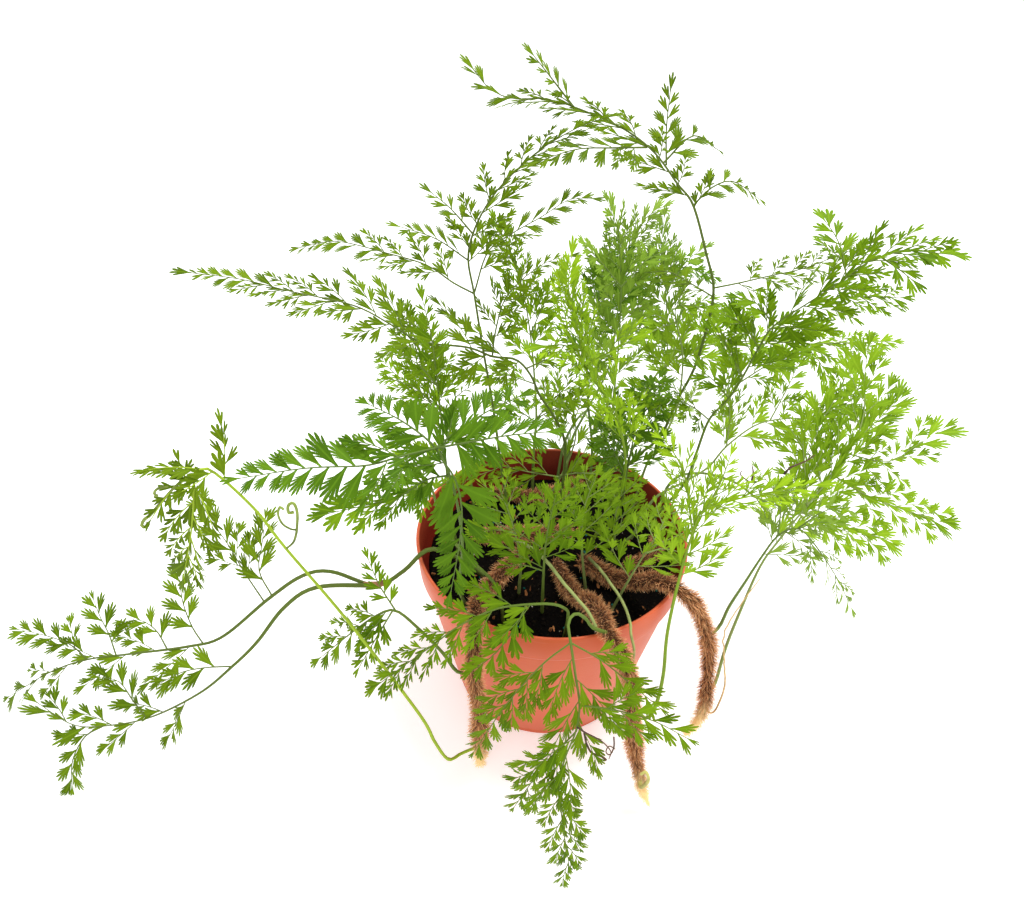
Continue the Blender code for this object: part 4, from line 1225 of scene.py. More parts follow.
FRONDS = [
    FrondPlan(
        "frond_low_left",
        [(-30, -14), (-38, -16, 88), (-52, -19, 98), (-64, -21, 86), (-76, -23, 79),
         (-94, -24, 88), (-106, -26, 87), (-122, -28, 74), (-146, -30, 50), (-162, -32, 45),
         (-189, -34, 41), (-207, -36, 39), (-227, -36, 29), (-253, -36, 9)],
        [[(-76, -23, 79), (-98, -34, 89), (-111, -40, 83), (-124, -45, 66), (-136, -48, 53),
          (-153, -50, 36), (-176, -55, 24), (-195, -60, 24), (-205, -64, 31), (-214, -65, 48)],
         [(-194, -35, 41), (-199, -27, 46), (-204, -21, 51), (-208, -15, 55)],
         [(-171, -33, 44), (-178, -25, 47), (-186, -21, 49), (-193, -22, 49)],
         [(-207, -36, 39), (-217, -30, 42), (-229, -27, 44), (-241, -25, 45)],
         [(-124, -28, 72), (-134, -18, 80), (-142, -9, 87), (-152, 1, 94), (-158, 9, 100)],
         [(-120, -28, 76), (-126, -21, 84), (-125, -14, 93), (-124, -7, 101)],
         [(-155, -31, 46), (-161, -25, 51), (-167, -15, 58), (-170, -3, 67)],
         [(-195, -60, 24), (-203, -63, 20), (-208, -70, 12), (-208, -77, 3)],
         [(-178, -55, 24), (-185, -49, 28), (-192, -43, 33), (-199, -44, 37)],
         [(-136, -48, 53), (-147, -49, 53), (-157, -51, 52), (-166, -55, 49)]],
        0.62, BROAD, Green.MOSS, arm_start=0.24, density=0.5, bare_arms=1, stipe=1.05),
    FrondPlan(
        "frond_lime_left",
        [(-30.1, -64.5, 23), (-37, -68, 23), (-42, -74, 28), (-47, -76, 44), (-52, -78, 66),
         (-73, -82, 125),
         (-89, -84, 163), (-95, -86, 181), (-103, -90, 199), (-106, -94, 201),
         (-107, -98, 193), (-110, -100, 181), (-115, -101, 166)],
        [[(-106, -94, 201), (-110, -95, 199), (-114, -98, 196), (-118, -102, 191)],
         [(-107, -97, 195), (-109, -94, 198), (-111, -91, 203)]],
        0.8, FULL, Green.SPRING, arm_size=0.6),
    FrondPlan(
        "frond_front_dark",
        [(-34, -34), (-37, -45, 98), (-37, -56, 118), (-35, -62, 140), (-35, -69, 163),
         (-37, -74, 184), (-41, -77, 199), (-51, -70, 203), (-63, -60, 202)],
        [[(-41, -77, 199), (-51, -84, 201), (-60, -87, 200), (-76, -90, 201), (-94, -94, 200)],
         [(-41, -77, 199), (-29, -82, 206), (-19, -84, 210), (-9, -86, 213)],
         [(-40, -77, 196), (-35, -81, 190), (-33, -86, 181), (-34, -92, 171), (-36, -98, 160)],
         [(-41, -77, 199), (-34, -71, 202), (-25, -65, 205), (-17, -61, 207)],
         [(-37, -75, 187), (-44, -76, 186), (-50, -80, 184), (-55, -84, 182)]],
        0.76, DENSE, Green.DARK),
    FrondPlan(
        "frond_upper_left",
        [(0, 18), (4, 15, 100), (4, 14, 130), (-2, 12, 147), (-8, 10, 158), (-12, 8, 169),
         (-18, 5, 178), (-27, 2, 181), (-36, 0, 186), (-53, -5, 191), (-62, -8, 199),
         (-75, -10, 208), (-96, -12, 214), (-111, -14, 219), (-127, -16, 222)],
        [[(-27, 2, 181), (-26, 3, 191), (-23, 5, 203), (-17, 6, 211), (-8, 9, 217),
          (0, 12, 218)],
         [(-14, 8, 172), (-6, 15, 172), (6, 22, 173)]],
        0.46, green=Green.MOSS),
    FrondPlan(
        "frond_tall_left",
        [(-18, 15), (-23, 20, 110), (-27, 24, 140), (-32, 26, 172), (-35, 25, 195),
         (-37, 23, 210), (-35, 20, 222), (-30, 17, 234), (-23, 13, 245), (-12, 9, 257),
         (0, 5, 266), (8, 2, 270)],
        [[(-35, 25, 195), (-43, 24, 200), (-53, 26, 206), (-68, 29, 209), (-88, 32, 212),
          (-103, 34, 208)],
         [(-35, 25, 195), (-30, 30, 210), (-21, 32, 217), (-10, 32, 224), (0, 32, 231),
          (8, 31, 232)],
         [(-37, 23, 210), (-48, 15, 222), (-60, 11, 228)],
         [(-35, 20, 222), (-43, 23, 230), (-50, 25, 235)]],
        0.62, SLENDER, Green.MOSS, facing=EDGE_ON, arm_facing=SKYWARD, stipe=0.7),
    FrondPlan(
        "frond_tallest",
        [(28, 30), (35, 33, 103), (49, 38, 117), (54, 39, 136), (59, 38, 155), (61, 37, 178),
         (60, 35, 195), (54, 32, 211), (45, 27, 232), (37, 22, 242), (27, 18, 254),
         (15, 14, 263), (-2, 9, 271), (-12, 6, 274), (-21, 2, 275), (-28, 0, 278),
         (-33, -2, 284)],
        [[(60, 35, 195), (72, 42, 194), (86, 49, 194), (100, 54, 195), (114, 58, 199),
          (134, 62, 206)],
         [(61, 37, 190), (54, 50, 189), (46, 60, 189), (36, 70, 183)],
         [(45, 27, 232), (51, 31, 237), (60, 36, 238), (72, 40, 230)],
         [(32, 20, 249), (31, 24, 260), (31, 26, 272)],
         [(-2, 9, 271), (-10, 5, 281), (-15, 3, 287)],
         [(24, 17, 256), (11, 4, 260), (-1, -4, 262), (-13, -10, 260)],
         [(31, 20, 250), (41, 27, 257), (52, 34, 250)]],
        0.62, SLENDER, Green.MOSS, facing=EDGE_ON, arm_facing=SKYWARD,
        density=0.88),
    FrondPlan(
        "frond_right_high",
        [(30, 4), (44, 10, 90), (58, 15, 108), (61, 16, 124), (64, 17, 143), (70, 16, 155),
         (73, 14, 167), (76, 12, 182), (79, 10, 193), (88, 5, 206), (97, 1, 218),
         (102, -2, 226), (112, -4, 231), (127, -6, 231)],
        [[(73, 14, 167), (64, 7, 182), (58, 2, 191), (50, -4, 198)],
         [(76, 12, 182), (67, 11, 193), (57, 8, 199)],
         [(79, 10, 193), (72, 14, 200), (66, 16, 201)],
         [(64, 17, 143), (55, 10, 154), (46, 4, 162), (35, -2, 168), (25, -7, 175)],
         [(72, 15, 163), (86, 22, 169), (99, 28, 171)],
         [(88, 5, 206), (105, 10, 206), (125, 14, 204)],
         [(97, 1, 218), (96, 8, 224), (94, 14, 228), (91, 19, 231)],
         [(70, 16, 155), (63, 21, 161), (56, 24, 164)],
         [(78, 11, 191), (88, 12, 192), (97, 14, 193)],
         [(105, -3, 228), (110, -7, 226), (114, -11, 224)]],
        0.52, FULL, arm_size=1.0),
    FrondPlan(
        "frond_mid_back",
        [(26, 40), (30, 45, 98), (42, 59, 113), (47, 65, 130), (56, 67, 141), (68, 69, 147),
         (93, 72, 149), (121, 76, 146), (140, 78, 146), (161, 80, 146)],
        [[(68, 69, 147), (66, 67, 156), (64, 70, 166)],
         [(93, 72, 149), (100, 68, 144), (105, 62, 137)],
         [(117, 75, 146), (125, 71, 140), (130, 65, 133)]],
        0.42, FULL, Green.LIGHT),
    FrondPlan(
        "frond_fan",
        [(38, 12), (46, 16, 98), (60, 22, 104), (71, 27, 109), (78, 30, 119), (91, 35, 128),
         (106, 39, 129), (117, 42, 127), (129, 47, 129), (144, 53, 136)],
        [[(78, 30, 119), (75, 25, 138), (70, 20, 158), (68, 22, 172)],
         [(117, 42, 127), (139, 50, 121), (155, 58, 124)],
         [(97, 37, 129), (102, 43, 137), (107, 50, 145), (110, 56, 153)],
         [(120, 43, 127), (129, 49, 135), (133, 56, 143), (135, 63, 151)]],
        0.46, FULL, Green.LIGHT, density=0.85),
    FrondPlan(
        "frond_right_mass",
        [(70.9, -44, 37.7), (76, -37, 36), (79, -30, 51), (83, -24, 67), (89, -17, 90),
         (96, -11, 100),
         (110, 0, 115), (118, 6, 124), (122, 11, 132), (131, 17, 139), (146, 27, 150)],
        [[(118, 6, 124), (132, 4, 116), (149, 0, 111), (168, -4, 107)],
         [(122, 11, 132), (145, 17, 123), (156, 21, 128), (168, 25, 136)],
         [(108, -2, 113), (104, 8, 133), (102, 13, 145)],
         [(127, 14, 136), (130, 22, 146), (130, 31, 156), (131, 39, 167)],
         [(114, 3, 119), (111, 11, 130), (111, 20, 140), (113, 28, 149)],
         [(106, -3, 110), (116, -6, 109), (128, -10, 107), (141, -13, 105)]],
        0.50, BROAD, Green.LIGHT, density=1.5, arm_size=1.15),
    FrondPlan(
        "frond_right_droop",
        [(66.8, -40.1, 71.5), (72, -35, 73), (74, -34, 84), (79, -31, 96), (84, -28, 108),
         (88, -28, 120),
         (93, -32, 128), (99, -38, 125), (110, -42, 111), (118, -45, 98)],
        [[(88, -28, 120), (87, -22, 133), (79, -15, 142)],
         [(93, -32, 128), (98, -38, 143), (106, -42, 149)]],
        0.42, HANGING, Green.PALE, density=0.8),
    FrondPlan(
        "frond_lime_front",
        [(32.8, -72.3, 66.1), (37, -77, 66), (39, -79, 78), (39, -80, 98), (37, -81, 122),
         (37, -81, 146),
         (38, -81, 168), (40, -81, 181), (50, -83, 188), (59, -85, 193), (68, -87, 197)],
        [[(38, -81, 172), (33, -79, 192), (28, -77, 201), (22, -75, 207)],
         [(41, -81, 182), (42, -85, 196), (42, -88, 208)]],
        0.6, YOUNG, Green.LIME),
    FrondPlan(
        "frond_front_droop",
        [(19.2, -64.3, 101.8), (13, -67, 108), (10, -68, 114), (6, -70, 119), (3, -75, 120),
         (4, -80, 115),
         (6, -87, 106), (8, -92, 95), (7, -97, 86), (3, -104, 78), (2, -108, 66),
         (4, -112, 50), (8, -116, 24)],
        [[(4, -80, 115), (-6, -84, 107), (-18, -88, 89), (-30, -91, 62)],
         [(4, -80, 115), (15, -86, 113), (25, -90, 106), (36, -94, 98)],
         [(8, -92, 95), (18, -98, 102), (32, -102, 102), (44, -106, 98)],
         [(7, -97, 86), (-3, -101, 72), (-14, -101, 40)]],
        0.30, CLOSE, facing=TO_VIEWER, arm_start=0.2, arm_size=0.8),
    FrondPlan(
        "frond_front_left",
        [(5, -46), (5, -54, 98), (3, -61, 111), (-4, -64, 117), (-20, -67, 118),
         (-28, -70, 117), (-37, -73, 113), (-46, -77, 107), (-60, -82, 97), (-66, -84, 92)],
        [[(-12, -66, 118), (-16, -73, 113), (-23, -79, 106), (-31, -82, 100)]],
        0.45, FULL, density=0.85),
    FrondPlan(
        "frond_bud_left",
        [(-32.2, -66.9, 77.9), (-38, -66, 78), (-43, -68, 92), (-51, -70, 108), (-59, -70, 118),
         (-66, -70, 115),
         (-76, -70, 105), (-89, -72, 92)],
        [[(-59, -70, 118), (-65, -65, 126), (-69, -60, 134)],
         [(-60, -70, 118), (-66, -77, 110), (-72, -82, 100)]],
        0.6, FULL, density=0.85, arm_size=0.7),
    FrondPlan(
        "frond_low_mid",
        [(-20, -42), (-23, -46, 105), (-35, -49, 126), (-43, -51, 143), (-45, -54, 160),
         (-46, -60, 170), (-50, -68, 174), (-60, -76, 176), (-74, -84, 178)],
        [[(-46, -60, 170), (-53, -50, 174), (-61, -40, 175)]],
        0.58, FULL),
    FrondPlan(
        "frond_mid_up",
        [(-40, -8), (-43, -13, 110), (-44, -17, 140), (-45, -19, 165), (-46, -20, 185),
         (-47, -22, 203), (-49, -25, 219)],
        [[(-45, -19, 168), (-52, -27, 185), (-60, -34, 194)],
         [(-46, -20, 182), (-51, -27, 195), (-57, -32, 203)],
         [(-45, -19, 165), (-40, -11, 171), (-34, -4, 172)]],
        0.50, facing=TO_VIEWER, density=0.95, arm_size=0.7),
    FrondPlan(
        "frond_center_dark",
        [(30, 14), (31, 11, 100), (31, 9, 118), (31, 5, 137), (31, -1, 156), (32, -7, 171),
         (34, -14, 184)],
        [[(31, 7, 128), (24, 7, 146), (20, 4, 163)],
         [(31, 9, 117), (22, 3, 138), (14, -1, 152)],
         [(31, 3, 144), (37, 0, 157), (41, -3, 164)]],
        0.36, FULL, Green.DARK),
    FrondPlan(
        "frond_lime_center",
        [(18, 4), (23, -4, 110), (26, -16, 142), (18, -29, 178), (12, -34, 190), (8, -38, 198),
         (4, -41, 206), (1, -43, 219), (-3, -44, 234), (-3, -46, 246)],
        [[(4, -41, 206), (10, -45, 213), (16, -49, 220)],
         [(2, -42, 212), (-4, -47, 217), (-9, -51, 219)]],
        0.5, YOUNG, Green.LIME, density=1.8, arm_size=1.3),
    FrondPlan(
        "frond_top_center",
        [(6, 30), (16, 40, 94), (27, 52, 112), (29, 61, 134), (29, 67, 156), (28, 70, 176),
         (26, 70, 190), (24, 68, 202), (18, 64, 217)],
        [[(28, 70, 176), (18, 64, 190), (9, 58, 201)],
         [(28, 70, 176), (38, 74, 187), (47, 76, 191)]],
        0.42, FULL, Green.HAZE),
    FrondPlan(
        "frond_top_dark",
        [(18, 32), (20, 48, 99), (18, 66, 114), (17, 84, 134), (21, 95, 151), (31, 101, 160),
         (42, 105, 165), (56, 109, 167), (68, 112, 165), (79, 114, 160)],
        [[(21, 95, 151), (22, 95, 172), (25, 93, 185)],
         [(31, 101, 160), (43, 107, 152), (56, 111, 139)]],
        0.45, FULL, Green.DARK),
    FrondPlan(
        "frond_top_right",
        [(34, 41), (39, 47, 102), (49, 66, 112), (56, 81, 122), (56, 90, 140), (53, 94, 160),
         (50, 95, 176), (47, 92, 189), (46, 88, 201)],
        [[(52, 95, 166), (43, 91, 180), (36, 86, 188)],
         [(53, 94, 162), (61, 99, 175), (69, 101, 181)]],
        0.45, FULL, Green.HAZE),
    FrondPlan(
        "frond_pale_back",
        [(8, 49), (10, 54, 100), (19, 74, 107), (30, 96, 118), (33, 109, 142), (36, 116, 166),
         (41, 117, 186), (49, 114, 195)],
        [[(33, 109, 142), (22, 108, 168), (13, 104, 181)]],
        0.5, FULL, Green.PALE),
    FrondPlan(
        "frond_shelf",
        [(40, 32), (45, 37, 102), (53, 47, 110), (59, 56, 124), (58, 59, 148), (52, 56, 167),
         (50, 50, 178), (58, 43, 182), (69, 36, 183)],
        [[(52, 56, 167), (43, 47, 169), (34, 38, 169)]],
        0.52, FULL, Green.LIGHT),
    FrondPlan(
        "frond_back_low",
        [(4, 50), (8, 60, 98), (20, 84, 98), (34, 108, 70), (48, 128, 48), (66, 143, 46),
         (86, 149, 57), (92, 150, 76)],
        [[(48, 128, 48), (34, 133, 50), (20, 138, 58)]],
        0.4, green=Green.PALE),
    FrondPlan(
        "frond_right_low",
        [(48, 18), (54, 24, 101), (68, 31, 102), (86, 34, 95), (100, 35, 84), (113, 40, 75),
         (130, 48, 63), (156, 56, 45), (181, 60, 35)],
        [[(113, 40, 75), (117, 38, 95), (119, 36, 106)],
         [(130, 48, 63), (147, 58, 66), (160, 66, 68)]],
        0.44, green=Green.PALE, density=0.8),
    FrondPlan(
        "frond_back_left",
        [(-8, 44), (-8, 51, 99), (-7, 66, 105), (-8, 83, 114), (-11, 98, 134), (-16, 105, 157),
         (-22, 107, 174), (-29, 107, 189)],
        [[(-11, 98, 134), (-3, 104, 152), (4, 109, 162)],
         [(-7, 66, 105), (1, 67, 116), (9, 68, 126), (18, 68, 135), (25, 68, 141)],
         [(-8, 83, 114), (-16, 80, 119), (-26, 78, 123), (-35, 76, 124), (-43, 74, 121)],
         [(-7, 66, 105), (-1, 64, 111), (7, 62, 118), (16, 60, 124)],
         [(-7, 64, 104), (-15, 62, 112), (-23, 60, 119), (-31, 58, 122)]],
        0.46, FULL),
    FrondPlan(
        "frond_left_back",
        [(-36, 28), (-39, 34, 99), (-46, 44, 108), (-54, 52, 121), (-60, 54, 140),
         (-64, 50, 160), (-66, 42, 178)],
        [[(-54, 52, 121), (-66, 58, 128), (-76, 66, 130), (-84, 78, 131)]],
        0.42, FULL),
    FrondPlan(
        "frond_shelf_center",
        [(-6, 26), (4, 29, 98), (10, 33, 118), (8, 35, 130), (1, 32, 140), (-8, 27, 147)],
        [[(4, 29, 100), (14, 24, 106), (26, 20, 108), (38, 18, 108)],
         [(4, 29, 99), (-10, 26, 104), (-22, 26, 107), (-34, 28, 107)]],
        0.30, LUSH, Green.LIGHT, facing=TO_VIEWER),
    FrondPlan(
        "frond_inner_left",
        [(-14, -24), (-14, -30, 104), (-18, -34, 130), (-23, -38, 150)],
        [[(-16, -33, 122), (-23, -32, 123), (-31, -33, 122)]],
        0.35, LUSH, Green.LIGHT, facing=TO_VIEWER, arm_size=0.8),
    FrondPlan(
        "frond_inner_front",
        [(-4, -34), (-5, -43, 112), (-5, -49, 138), (-3, -52, 160)],
        [[(-5, -47, 130), (1, -44, 134), (7, -40, 139)],
         [(-5, -43, 112), (-13, -42, 114), (-20, -42, 113)]],
        0.45, LUSH, facing=TO_VIEWER, arm_size=0.6),
    FrondPlan(
        "frond_inner_mid",
        [(15, -21), (11, -26, 108), (10, -28, 131), (13, -30, 150)],
        [[(10, -27, 120), (6, -22, 126), (1, -17, 133)]],
        0.35, LUSH, Green.LIGHT, facing=TO_VIEWER, arm_size=0.8),
    FrondPlan(
        "frond_inner_right",
        [(25, -5), (26, -13, 98), (24, -18, 117), (25, -21, 136)],
        [[(25, -16, 109), (33, -13, 113), (41, -12, 114)]],
        0.35, LUSH, Green.LIGHT, facing=TO_VIEWER, arm_size=0.8),
    FrondPlan(
        "frond_inner_rim",
        [(25, -33), (31, -37, 106), (37, -40, 130), (40, -43, 150)],
        [[(34, -39, 119), (41, -37, 120), (49, -38, 119)]],
        0.35, LUSH, Green.LIGHT, facing=TO_VIEWER, arm_size=0.8),
]


@dataclass
class Stem:
    """A stem with its local axes at every point."""

    points: np.ndarray
    facing: Point

    def __post_init__(self) -> None:
        """Work out the directions along, across and away from the blade."""
        self.along = tangents(self.points)
        across: list[np.ndarray] = []
        for t in self.along:
            side = np.cross(t, self.facing)
            if np.linalg.norm(side) < 0.3 and across:
                side = across[-1] - t * np.dot(across[-1], t)
            across.append(unit(side))
        self.across = np.array(across)
        self.face = np.cross(self.across, self.along)
        steps = np.linalg.norm(np.diff(self.points, axis=0), axis=1)
        self.run = np.concatenate([[0], np.cumsum(steps)])
        self.length = self.run[-1]

    def at(self, place: float) -> tuple[np.ndarray, ...]:
        """Point, direction, side and face at a distance from the stem's base."""
        values = (self.points, self.along, self.across, self.face)
        found = [np.array([np.interp(place, self.run, table[:, k]) for k in range(3)])
                 for table in values]
        return (found[0], *(unit(v) for v in found[1:]))


class Frond:
    """Works out where a frond's fine stems run and where its leaflets sit."""

    STEP = 0.003                # between the points of a stem
    LIFT = 0.0004               # height of a frond's foot over the soil
    RACHIS = 0.62               # its radius where the blade starts, for each of the stipe's
    ARM = 0.00038               # radii at the foot of an arm and of a pinna, and at a tip
    PINNA = 0.00022
    TIP = 0.00013
    END_GAP = 0.0022            # no pinna starts closer to the stem's tip
    LEAST_GAP = 0.0018          # between two pinnae
    END_LEAFLET = 0.0072
    PINNA_STEP = 0.0026
    PINNA_CURL = 0.38           # how much of its angle a pinna loses on its way
    PINNA_STEM = 0.86           # its stem's length, for each of its own
    DRESSED = (0.09, 0.92)      # where its leaflets start and end
    DWINDLE = 0.52              # how much shorter the last of them are
    TIP_LEAFLET = (0.0050, 0.34)    # least length, and length for each of the pinna's
    CUTS = (Cut.NEEDLE, Cut.FORK, Cut.TRIDENT, Cut.HAND, Cut.SPRAY)
    CUT_STEPS = (0.0034, 0.0048, 0.0066, 0.0098)    # lengths between those cuts
    TOOTHED_FROM = 0.0064

    def __init__(self, plan: FrondPlan, seed: int) -> None:
        """Lay out the whole frond.

        Args:
            plan: its routes and habit.
            seed: seed of the small differences between its leaflets.
        """
        self.plan = plan
        self.habit = plan.habit
        self.rng = np.random.default_rng(seed)
        self.stem_points: list[np.ndarray] = []
        self.stem_radii: list[np.ndarray] = []
        self.leaves: list[tuple[np.ndarray, ...]] = []
        self.grow()

    def grow(self) -> None:
        """The rachis first, then each arm, with pinnae on both."""
        plan = self.plan
        main = Stem(smooth_route(to_metres(plan.main, self.LIFT), self.STEP), plan.facing)
        share = main.run / main.length
        stipe = plan.stipe * MM
        radii = np.interp(share, [0, plan.start, 1], [stipe, self.RACHIS * stipe, self.TIP])
        self.add_stem(main.points, radii)
        self.add_pinnae(main, plan.start, 1.0, plan.density)
        for number, arm in enumerate(plan.arms):
            stem = Stem(smooth_route(to_metres(arm, 0.0), self.STEP),
                        plan.arm_facing or plan.facing)
            bare = number < plan.bare_arms
            thick = stipe if bare else self.ARM
            self.add_stem(stem.points, np.linspace(thick, self.TIP, len(stem.points)))
            if bare:
                self.add_pinnae(stem, plan.start, 1.0, plan.density)
            else:
                self.add_pinnae(stem, plan.arm_start, plan.arm_size)

    def add_stem(self, points: np.ndarray, radii: np.ndarray) -> None:
        """Keep a stem's points and its radius at each."""
        self.stem_points.append(points)
        self.stem_radii.append(radii)

    def add_pinnae(self, stem: Stem, start: float, size: float, density: float = 1.0
                   ) -> None:
        """Alternate pinnae from where the blade starts up to a last leaflet.

        Args:
            stem: the stem that bears them.
            start: where the blade starts, as a share of the stem.
            size: how large its pinnae are beside the habit's.
            density: how closely they follow each other beside the habit's.
        """
        habit, rng = self.habit, self.rng
        bladed = stem.length * (1 - start)
        place, hand = stem.length * start, 1 if rng.random() < 0.5 else -1
        while place < stem.length - self.END_GAP:
            left = stem.length - place
            share = left / bladed
            length = min(habit.longest * MM, habit.shortest * MM + habit.taper * left)
            length *= size * rng.uniform(0.86, 1.12)
            angle = habit.angle_tip + (habit.angle_base - habit.angle_tip) * share
            self.add_pinna(stem.at(place), hand, length,
                           math.radians(angle * rng.uniform(0.9, 1.08)))
            gap = max(self.LEAST_GAP, habit.gap * length)
            place += gap * rng.uniform(0.9, 1.1) / density
            hand = -hand
        point, along, _, face = stem.at(stem.length - 0.0004)
        self.add_leaflet(point, along, face, self.END_LEAFLET * size)

    def add_pinna(self, base: tuple[np.ndarray, ...], hand: int, length: float,
                  angle: float) -> None:
        """One pinna: a leaflet if it is short, else a fine stem with leaflets.

        Args:
            base: point, direction, side and face of the stem that bears it.
            hand: the side that it grows on.
            length: its length.
            angle: its angle to the stem.
        """
        habit, rng = self.habit, self.rng
        point, along, across, face = base
        tilt = habit.keel + rng.normal(0, habit.scatter)
        out = hand * across * math.cos(tilt) + face * math.sin(tilt)
        face = unit(face + rng.normal(0, habit.scatter, 3) - hand * across * math.sin(tilt))
        if length < habit.whole * MM:
            lie = along * math.cos(angle) + out * math.sin(angle) - UP * habit.droop * 0.5
            self.add_leaflet(point, lie, face, length, hand)
            return
        count = max(4, int(round(length / self.PINNA_STEP)) + 1)
        points = [point]
        for share in np.linspace(0, 1, count)[:-1]:
            bend = angle * (1 - self.PINNA_CURL * share)
            lie = along * math.cos(bend) + out * math.sin(bend) - UP * habit.droop * share
            points.append(points[-1] + unit(lie) * length * self.PINNA_STEM / (count - 1))
        points = np.array(points)
        self.add_stem(points, np.linspace(self.PINNA, self.TIP, count))
        self.dress(Stem(points, tuple(face)), hand, length)

    def dress(self, stem: Stem, hand: int, length: float) -> None:
        """Alternate leaflets along a pinna, the first ones the longest."""
        habit, rng = self.habit, self.rng
        place, turn = self.DRESSED[0] * stem.length, hand
        while place < stem.length * self.DRESSED[1]:
            point, along, across, face = stem.at(place)
            share = place / stem.length
            size = habit.leaflet_share * length * (1 - self.DWINDLE * share)
            size *= (1.08 if turn == hand else 0.94) * rng.uniform(0.88, 1.12)
            size = min(max(size, habit.leaflet_least * MM), habit.leaflet_longest * MM)
            angle = math.radians(36 - 14 * share) * rng.uniform(0.88, 1.1)
            lie = (along * math.cos(angle) - turn * across * math.sin(angle)
                   + face * rng.normal(0.0, habit.scatter) - UP * habit.droop * 0.3)
            self.add_leaflet(point, lie, face + rng.normal(0, habit.scatter, 3), size)
            place += habit.leaflet_gap * size * rng.uniform(0.9, 1.12)
            turn = -turn
        point, along, _, face = stem.at(stem.length * 0.97)
        least, share = self.TIP_LEAFLET
        self.add_leaflet(point, along, face, max(least, share * length))

    def add_leaflet(self, point: np.ndarray, lie: np.ndarray, face: np.ndarray,
                    size: float, hand: int = 0) -> None:
        """Keep a leaflet's place, its two directions, its size, cut and tint.

        Args:
            point: where it is attached.
            lie: where it points.
            face: where its upper side looks.
            size: its length.
            hand: its side of the stem, if it is a whole pinna.
        """
        if hand and self.habit.toothed and size > self.TOOTHED_FROM:
            cut = Cut.LEFT_BLADE if hand > 0 else Cut.RIGHT_BLADE
        else:
            near = size * self.rng.uniform(0.9, 1.1)
            cut = self.CUTS[int(np.searchsorted(self.CUT_STEPS, near))]
        wide = size * self.habit.leaflet_width * self.rng.uniform(0.88, 1.14)
        self.leaves.append((point, unit(lie), unit(face), np.array([wide, size, size]),
                            cut, self.rng.uniform(0.1, 0.75)))

    def leaflet_mesh(self) -> bpy.types.Mesh:
        """The leaflets' points, which carry how each one sits."""
        points, lies, faces, sizes, cuts, tints = zip(*self.leaves)
        return mesh_of(f"{self.plan.name}_leaflets", points, lie=np.array(lies),
                       face=np.array(faces), size=np.array(sizes),
                       cut=np.array(cuts, dtype=np.int32), tint=np.array(tints))

    def stem_mesh(self) -> bpy.types.Mesh:
        """All stems as loose lines, which carry their thickness."""
        edges, first = [], 0
        for points in self.stem_points:
            edges += chain(len(points), first)
            first += len(points)
        return mesh_of(f"{self.plan.name}_stems", np.vstack(self.stem_points), edges,
                       thickness=np.concatenate(self.stem_radii))


class Foliage:
    """Grows every frond with one geometry tree and one kit of leaflets."""

    STEM_SIDES = 6
    FIRST_SEED = 101

    def __init__(self) -> None:
        """Build the tree, the leaflets and the greens."""
        self.tree = self.make_tree()
        self.leaflets = Leaflets()
        self.finishes = {green: green.value.material() for green in Green}

    def make_tree(self) -> GrowthTree:
        """Stems swept round, leaflets planted on their points, all in one mesh."""
        tree = GrowthTree("frond_growth", {
            "Stems": "Object", "Leaflets": "Collection", "Stem Sides": "Int",
            "Finish": "Material"})
        given = tree.given
        lines = tree.add("GeometryNodeObjectInfo", {"Object": given["Stems"]})
        lines = tree.curve(lines.outputs["Geometry"])
        stems = tree.store(tree.swept(lines, given["Stem Sides"]), "woody", 1.0)
        lie, face = (tree.named(name, "FLOAT_VECTOR") for name in ("lie", "face"))
        leaves = tree.planted(given["Geometry"], given["Leaflets"], tree.named("cut", "INT"),
                              tree.turned(face, lie), tree.named("size", "FLOAT_VECTOR"))
        tree.finish(tree.joined(stems, leaves))
        return tree

    def build(self) -> None:
        """Grow each frond in its node's place."""
        for seed, plan in enumerate(FRONDS):
            frond = Frond(plan, seed + self.FIRST_SEED)
            stems = new_object("stems", frond.stem_mesh())
            piece = self.tree.run(f"leafy_{plan.name}", frond.leaflet_mesh(), {
                "Stems": stems, "Leaflets": self.leaflets.kit,
                "Stem Sides": self.STEM_SIDES, "Finish": self.finishes[plan.green]})
            bpy.data.objects.remove(stems)
            clamp_to_floor(piece)
            place_piece(piece, plan.green.value.slot or plan.green.value.name, plan.name)
        drop_kit(self.leaflets.kit)


# -------------------------------------------------------------------- small pieces

@dataclass(frozen=True)
class Thread:
    """A single tapered, slightly kinked strand along a given route."""

    name: str
    route: list[Point]
    radius: float
    end_radius: float
    finish: WiryFinish
    slot: str
    nodes: tuple[str, ...] = ()
    kink: float = 0.0002
    step: float = 0.0012
    swollen: bool = False       # thick in the middle and thin at both ends


def wisp(name: str, route: list[Point], radius: float, end_radius: float) -> Thread:
    """A withered leaflet, stalk or tip."""
    return Thread(name, route, radius, end_radius, DEAD_LEAF, "dry_root", (), 0.0001, 0.0008)


def young_tip(name: str, route: list[Point], radius: float, end_radius: float) -> Thread:
    """The curled end of a frond that still opens, thicker towards its tip."""
    return Thread(name, route, radius, end_radius, YOUNG_SKIN, "fiddlehead_green", (),
                  0.0001, 0.0008)


